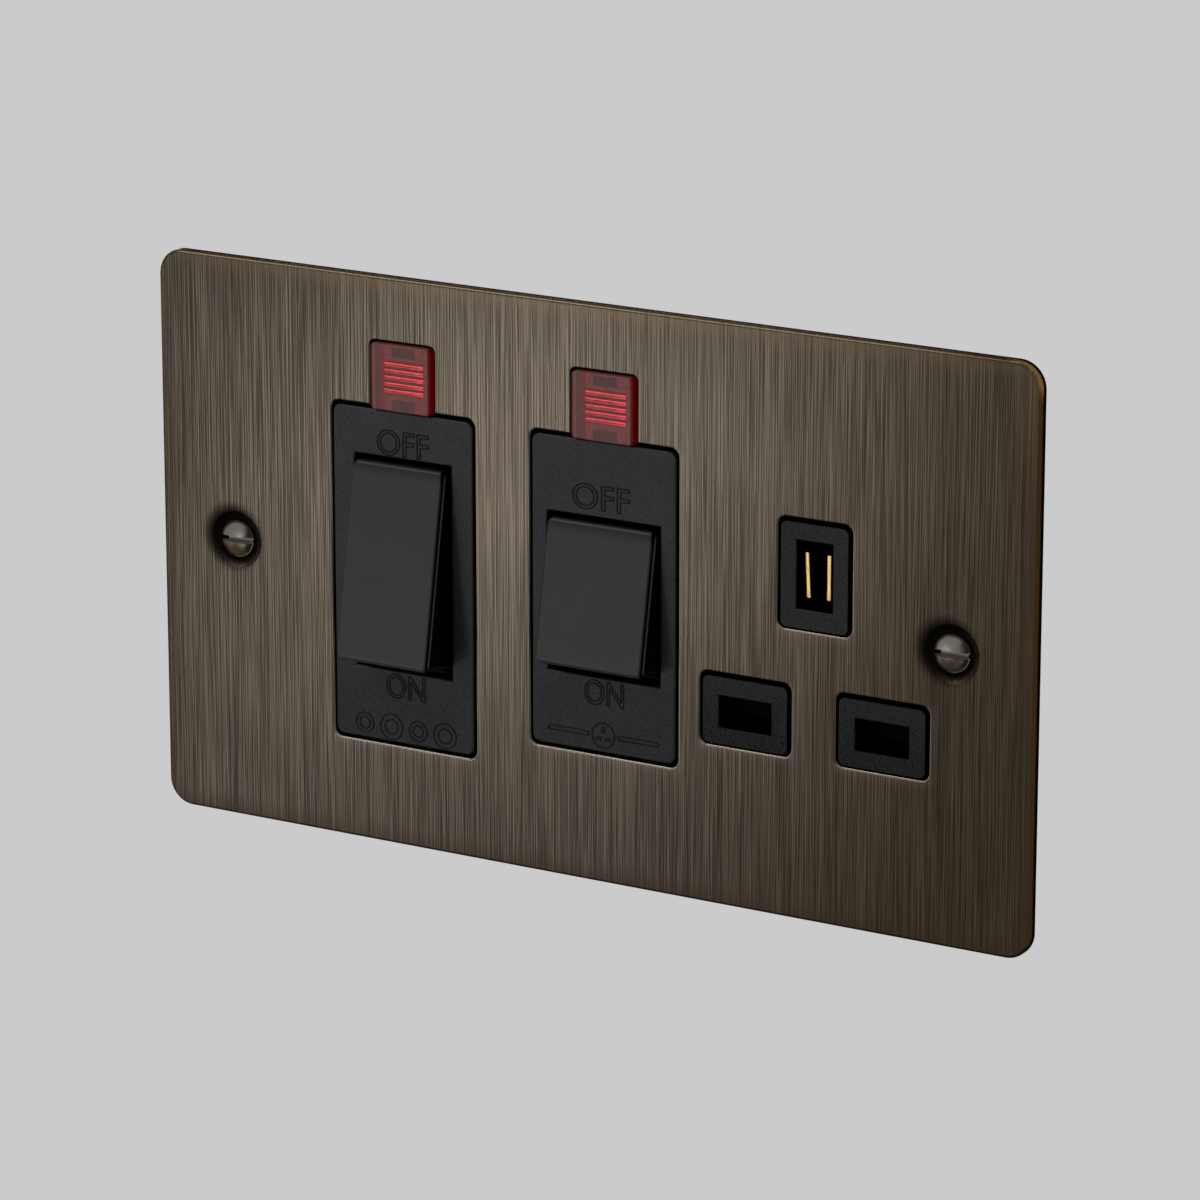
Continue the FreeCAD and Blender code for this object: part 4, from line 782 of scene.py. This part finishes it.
def light_world(settings):
    """The camera sees the backdrop's colour, in mirrors and through glass too; everything else
    gets a soft sky, pale on the left and dim on the right."""
    world = bpy.data.worlds.new("studio")
    bpy.context.scene.world = world
    world.use_nodes = True
    world.node_tree.nodes.clear()
    graph = Graph(world.node_tree)
    direction = graph.node("ShaderNodeTexCoord").outputs["Generated"]
    parts = graph.node("ShaderNodeSeparateXYZ", inputs={"Vector": direction})
    sky = graph.mix(graph.step(parts.outputs["X"], -1.0, 0.35), SKY_LEFT, SKY_RIGHT)
    seen = graph.mix(graph.looked_at(), sky, tuple(settings.backdrop))
    background = graph.node("ShaderNodeBackground", inputs={"Color": seen})
    graph.node("ShaderNodeOutputWorld", inputs={"Surface": background.outputs[0]})


def add_lamp(name, place, size, power):
    """Round lamp that points at the object."""
    lamp = bpy.data.lights.new(name, "AREA")
    lamp.shape = "DISK"
    lamp.size = size
    lamp.energy = power
    carrier = bpy.data.objects.new(name, lamp)
    carrier.location = place
    carrier.rotation_euler = (AIM - Vector(place)).to_track_quat("-Z", "Y").to_euler()
    bpy.context.scene.collection.objects.link(carrier)


def add_camera(settings):
    """Camera at the photograph's viewing angle."""
    turn, rise = math.radians(settings.azimuth), math.radians(settings.elevation)
    back = Vector((math.sin(turn) * math.cos(rise), -math.cos(turn) * math.cos(rise),
                   math.sin(rise)))
    right = Vector((math.cos(turn), math.sin(turn), 0.0))
    up = right.cross(-back)
    camera = bpy.data.cameras.new("camera")
    camera.lens = settings.lens
    camera.sensor_width = SENSOR_WIDTH
    camera.clip_start = 0.05
    carrier = bpy.data.objects.new("camera", camera)
    carrier.rotation_euler = (-back).to_track_quat("-Z", "Y").to_euler()
    carrier.location = AIM + back * settings.distance + right * CAMERA_RIGHT - up * CAMERA_DOWN
    bpy.context.scene.collection.objects.link(carrier)
    bpy.context.scene.camera = carrier


# Settings

class FinishSettings(bpy.types.PropertyGroup):
    bronze: bpy.props.FloatVectorProperty(
        name="Bronze", description="Middle colour of the smoked plating",
        subtype="COLOR", size=3, default=(0.068, 0.0570, 0.0455), min=0.0, max=1.0)
    bronze_roughness: bpy.props.FloatProperty(
        name="Bronze roughness", description="How dull the plating is",
        subtype="FACTOR", default=0.28, min=0.0, max=1.0)
    rubbed_edge: bpy.props.FloatVectorProperty(
        name="Rubbed edge", description="Colour of the metal where the plating is rubbed thin",
        subtype="COLOR", size=3, default=(0.112, 0.083, 0.050), min=0.0, max=1.0)
    edge_wear: bpy.props.FloatProperty(
        name="Edge wear", description="Share of the rubbed colour at the plate's edge",
        subtype="FACTOR", default=0.65, min=0.0, max=1.0)
    bezel: bpy.props.FloatVectorProperty(
        name="Bezels", description="Colour of the switch fronts",
        subtype="COLOR", size=3, default=(0.0120, 0.0120, 0.0127), min=0.0, max=1.0)
    rocker: bpy.props.FloatVectorProperty(
        name="Rockers", description="Colour of the rockers",
        subtype="COLOR", size=3, default=(0.0245, 0.0225, 0.0210), min=0.0, max=1.0)
    lens: bpy.props.FloatVectorProperty(
        name="Lens", description="Colour of the neon lenses round their ribbed window",
        subtype="COLOR", size=3, default=(0.50, 0.150, 0.148), min=0.0, max=1.0)
    lens_ribs: bpy.props.FloatVectorProperty(
        name="Lens window", description="Colour between the ribs in the lenses' window",
        subtype="COLOR", size=3, default=(0.28, 0.050, 0.054), min=0.0, max=1.0)
    brass: bpy.props.FloatVectorProperty(
        name="Brass", description="Colour of the contacts and terminals",
        subtype="COLOR", size=3, default=(0.95, 0.62, 0.24), min=0.0, max=1.0)


class LetterSettings(bpy.types.PropertyGroup):
    line: bpy.props.FloatProperty(
        name="Line", description="Thickness of the moulded outlines in millimetres",
        default=0.24, min=0.05, max=0.5)
    height: bpy.props.FloatProperty(
        name="Height", description="Height of the letters in millimetres",
        default=3.75, min=1.0, max=8.0)
    face: bpy.props.FloatProperty(
        name="Face depth", description="Y of the fronts' face in millimetres", default=-2.45)


class StageSettings(bpy.types.PropertyGroup):
    azimuth: bpy.props.FloatProperty(
        name="Azimuth", description="Camera's turn to the object's right, in degrees",
        default=30.47)
    elevation: bpy.props.FloatProperty(
        name="Elevation", description="Camera's height above level, in degrees", default=15.92)
    distance: bpy.props.FloatProperty(
        name="Distance", description="Camera's distance", unit="LENGTH", default=0.845)
    lens: bpy.props.FloatProperty(
        name="Focal length", description="Focal length in millimetres on a 36 mm sensor",
        default=174.18)
    backdrop: bpy.props.FloatVectorProperty(
        name="Backdrop", description="Colour behind the object",
        subtype="COLOR", size=3, default=(0.597, 0.597, 0.597), min=0.0, max=1.0)


# One operator for each group of like pieces

class CONTROLUNIT_OT_metal(bpy.types.Operator):
    """Brushed plating on the front plate and patina on the fixing screws."""

    bl_idname = "controlunit.metal"
    bl_label = "Plate and fixing screws"

    def execute(self, context):
        settings = context.scene.controlunit_finish
        wear(["front_plate"], smoked_metal("plate_metal", settings))
        wear(["fixing_screw_left", "fixing_screw_right"], turned_bronze(settings))
        return {"FINISHED"}


class CONTROLUNIT_OT_mouldings(bpy.types.Operator):
    """Satin black on the fronts, rockers and rear housing, and painted shade on the plungers and
    shutter, which sit deep in the slots.
    """

    bl_idname = "controlunit.mouldings"
    bl_label = "Black mouldings"

    def execute(self, context):
        settings = context.scene.controlunit_finish
        wear(["cooker_switch_front", "socket_front"], moulded(
            "front_black", settings.bezel, 0.5, grain=3.2, depth=0.8, shading=front_shading))
        for name in ("cooker_rocker", "socket_rocker"):
            wear([name], moulded(f"{name}_black", settings.rocker, 0.4, grain=7.0, depth=0.2,
                                 shading=rocker_shading(*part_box(name))))
        # Painted shade: the plungers and shutter deep in the slots are near black
        wear([name for name in NODES if "plunger" in name or name == "shutter"],
             moulded("shutter_black", (0.004, 0.004, 0.004), 0.6, dull=0.7))
        wear(["rear_housing"],
             moulded("housing_black", (0.05, 0.05, 0.053), 0.5, grain=5.0, depth=0.5))
        return {"FINISHED"}


class CONTROLUNIT_OT_lenses(bpy.types.Operator):
    """Ribbed red lenses and the glass lamps behind them."""

    bl_idname = "controlunit.lenses"
    bl_label = "Neon lenses and lamps"

    def execute(self, context):
        settings = context.scene.controlunit_finish
        for name, x in (("cooker", COOKER_X), ("socket", SOCKET_X)):
            low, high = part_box(f"{name}_neon_lens")
            wear([f"{name}_neon_lens"], lens_red(settings, x, low.z / MM, high.z / MM))
        wear(["cooker_neon_lamp", "socket_neon_lamp"], lamp_glass())
        return {"FINISHED"}


class CONTROLUNIT_OT_inner(bpy.types.Operator):
    """Brass contacts and terminals, zinc-plated screws and the foam ring."""

    bl_idname = "controlunit.inner"
    bl_label = "Contacts, screws, foam"

    def execute(self, context):
        brass = context.scene.controlunit_finish.brass
        wear([name for name in NODES
              if "terminal" in name or "contact" in name or name.endswith("_feed")],
             sheet_metal("brass", brass, 0.28))
        wear(["earth_contact"], sheet_metal("leaf_brass", brass, 0.28, leaf_shading))
        wear([name for name in NODES
              if name.startswith("housing_screw") or name.endswith("clamp_screw")],
             sheet_metal("screw_steel", (0.62, 0.6, 0.52), 0.35))
        wear(["wall_gasket"], soft_foam())
        return {"FINISHED"}


class CONTROLUNIT_OT_springs(bpy.types.Operator):
    """Coil springs with closed ends, in place of the plungers' and the shutter's springs."""

    bl_idname = "controlunit.springs"
    bl_label = "Springs"

    def execute(self, context):
        material = sheet_metal("spring_steel", (0.6, 0.6, 0.62), 0.22)
        for joint in frame["joints"]:
            for row in joint.get("deforming_nodes") or []:
                add_spring(row["node"], joint, material)
        return {"FINISHED"}


class CONTROLUNIT_OT_lettering(bpy.types.Operator):
    """Moulded outline letters above and below each rocker."""

    bl_idname = "controlunit.lettering"
    bl_label = "OFF and ON"

    def execute(self, context):
        letters = context.scene.controlunit_letters
        # Painted shade: the outlines are darker than the fronts, for the shade along the raised
        # strokes' edges
        colour = shaded(context.scene.controlunit_finish.bezel, 0.25)
        material = moulded("lettering_black", colour, 0.5, dull=0.6)
        for name, x, z, word, width in LETTERING:
            paths = [even(path, LETTER_SPACING) + (x, z)
                     for path in letter_paths(word, letters.height, width)]
            add_beads(f"{name}_lettering", paths, letters.line / 2, letters.face, material)
        return {"FINISHED"}


class CONTROLUNIT_OT_symbols(bpy.types.Operator):
    """Moulded hob rings under the cooker switch and an outlet sign under the socket switch."""

    bl_idname = "controlunit.symbols"
    bl_label = "Hob and outlet signs"

    def execute(self, context):
        letters = context.scene.controlunit_letters
        # Painted shade: the outlines are darker than the fronts, for the shade along the raised
        # strokes' edges
        colour = shaded(context.scene.controlunit_finish.bezel, 0.25)
        material = moulded("sign_black", colour, 0.5, dull=0.6)
        middle = (len(HOB_RADII) - 1) / 2
        hob = [ring_path(COOKER_X + (place - middle) * HOB_PITCH, HOB_Z, radius * share)
               for place, radius in enumerate(HOB_RADII) for share in (1.0, HOB_INNER)]
        outlet = [ring_path(SOCKET_X, OUTLET_Z, OUTLET_RADIUS)]
        outlet += [slot_path(SOCKET_X + across, OUTLET_Z + up, *shape)
                   for across, up, *shape in OUTLET_SLOTS]
        for name, paths in (("cooker_hob_sign", hob), ("socket_outlet_sign", outlet)):
            add_beads(name, paths, letters.line / 2, letters.face, material)
        return {"FINISHED"}


class CONTROLUNIT_OT_terminal_marks(bpy.types.Operator):
    """On the back, moulded L, N and earth marks beside the terminals' screws, a bare framed field
    and the round marks of the mould's pins."""

    bl_idname = "controlunit.terminal_marks"
    bl_label = "Marks on the back"

    def execute(self, context):
        material = moulded("mark_black", (0.10, 0.10, 0.105), 0.35)
        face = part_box("rear_housing")[1].y / MM - RELIEF_DEPTH
        marks = []
        for name in sorted(NODES):
            if not (name.endswith("_terminal") or name.startswith("earth_terminal")):
                continue
            low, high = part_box(name)
            x, z = (low.x + high.x) / 2 / MM, math.copysign(MARK_Z, low.z + high.z)
            if "earth" in name:
                paths = earth_paths(x, z)
            else:
                # mirrored, to read right from behind
                word = "L" if "line" in name else "N"
                paths = [even(path * (-1.0, 1.0), LETTER_SPACING) + (x, z)
                         for path in letter_paths(word, MARK_HEIGHT, MARK_WIDTHS[word])]
            marks.append((f"{name}_mark", paths, MARK_BEAD))
        field = [even(slot_path(0.0, 0.0, *shape), FIELD_SPACING) for shape in FIELD_OUTLINES]
        marks.append(("bare_field_frame", field, FIELD_BEAD))
        pins = [ring_path(x, z, MOULD_PIN_RADIUS) for x, z in MOULD_PINS]
        marks.append(("mould_pin_marks", pins, MOULD_PIN_BEAD))
        for name, paths, bead in marks:
            add_beads(name, paths, bead, face, material)
        return {"FINISHED"}


class CONTROLUNIT_OT_stage(bpy.types.Operator):
    """Pale floor, soft lamps, world and the camera."""

    bl_idname = "controlunit.stage"
    bl_label = "Stage"

    def execute(self, context):
        settings = context.scene.controlunit_stage
        context.scene.view_settings.view_transform = "Standard"
        add_floor(settings)
        light_world(settings)
        for lamp in LAMPS:
            add_lamp(*lamp)
        add_camera(settings)
        return {"FINISHED"}


class CONTROLUNIT_PT_panel(bpy.types.Panel):
    """The steps, sizes and colours of the cooker control unit."""

    bl_idname = "CONTROLUNIT_PT_panel"
    bl_label = "Cooker unit"
    bl_space_type = "VIEW_3D"
    bl_region_type = "UI"
    bl_category = "Cooker unit"

    def draw(self, context):
        scene = context.scene
        for operator in OPERATORS:
            self.layout.operator(operator.bl_idname)
        for settings in (scene.controlunit_finish, scene.controlunit_letters,
                         scene.controlunit_stage):
            box = self.layout.box()
            for name in settings.__annotations__:
                box.prop(settings, name)


OPERATORS = (
    CONTROLUNIT_OT_metal, CONTROLUNIT_OT_mouldings, CONTROLUNIT_OT_lenses, CONTROLUNIT_OT_inner,
    CONTROLUNIT_OT_springs, CONTROLUNIT_OT_lettering, CONTROLUNIT_OT_symbols,
    CONTROLUNIT_OT_terminal_marks, CONTROLUNIT_OT_stage,
)
CLASSES = (FinishSettings, LetterSettings, StageSettings, *OPERATORS, CONTROLUNIT_PT_panel)


def register():
    for cls in CLASSES:
        bpy.utils.register_class(cls)
    bpy.types.Scene.controlunit_finish = bpy.props.PointerProperty(type=FinishSettings)
    bpy.types.Scene.controlunit_letters = bpy.props.PointerProperty(type=LetterSettings)
    bpy.types.Scene.controlunit_stage = bpy.props.PointerProperty(type=StageSettings)


def unregister():
    del bpy.types.Scene.controlunit_stage
    del bpy.types.Scene.controlunit_letters
    del bpy.types.Scene.controlunit_finish
    for cls in reversed(CLASSES):
        bpy.utils.unregister_class(cls)


def main():
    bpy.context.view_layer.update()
    register()
    bpy.ops.controlunit.metal()
    bpy.ops.controlunit.mouldings()
    bpy.ops.controlunit.lenses()
    bpy.ops.controlunit.inner()
    bpy.ops.controlunit.springs()
    bpy.ops.controlunit.lettering()
    bpy.ops.controlunit.symbols()
    bpy.ops.controlunit.terminal_marks()
    bpy.ops.controlunit.stage()


if __name__ == "__main__":
    main()
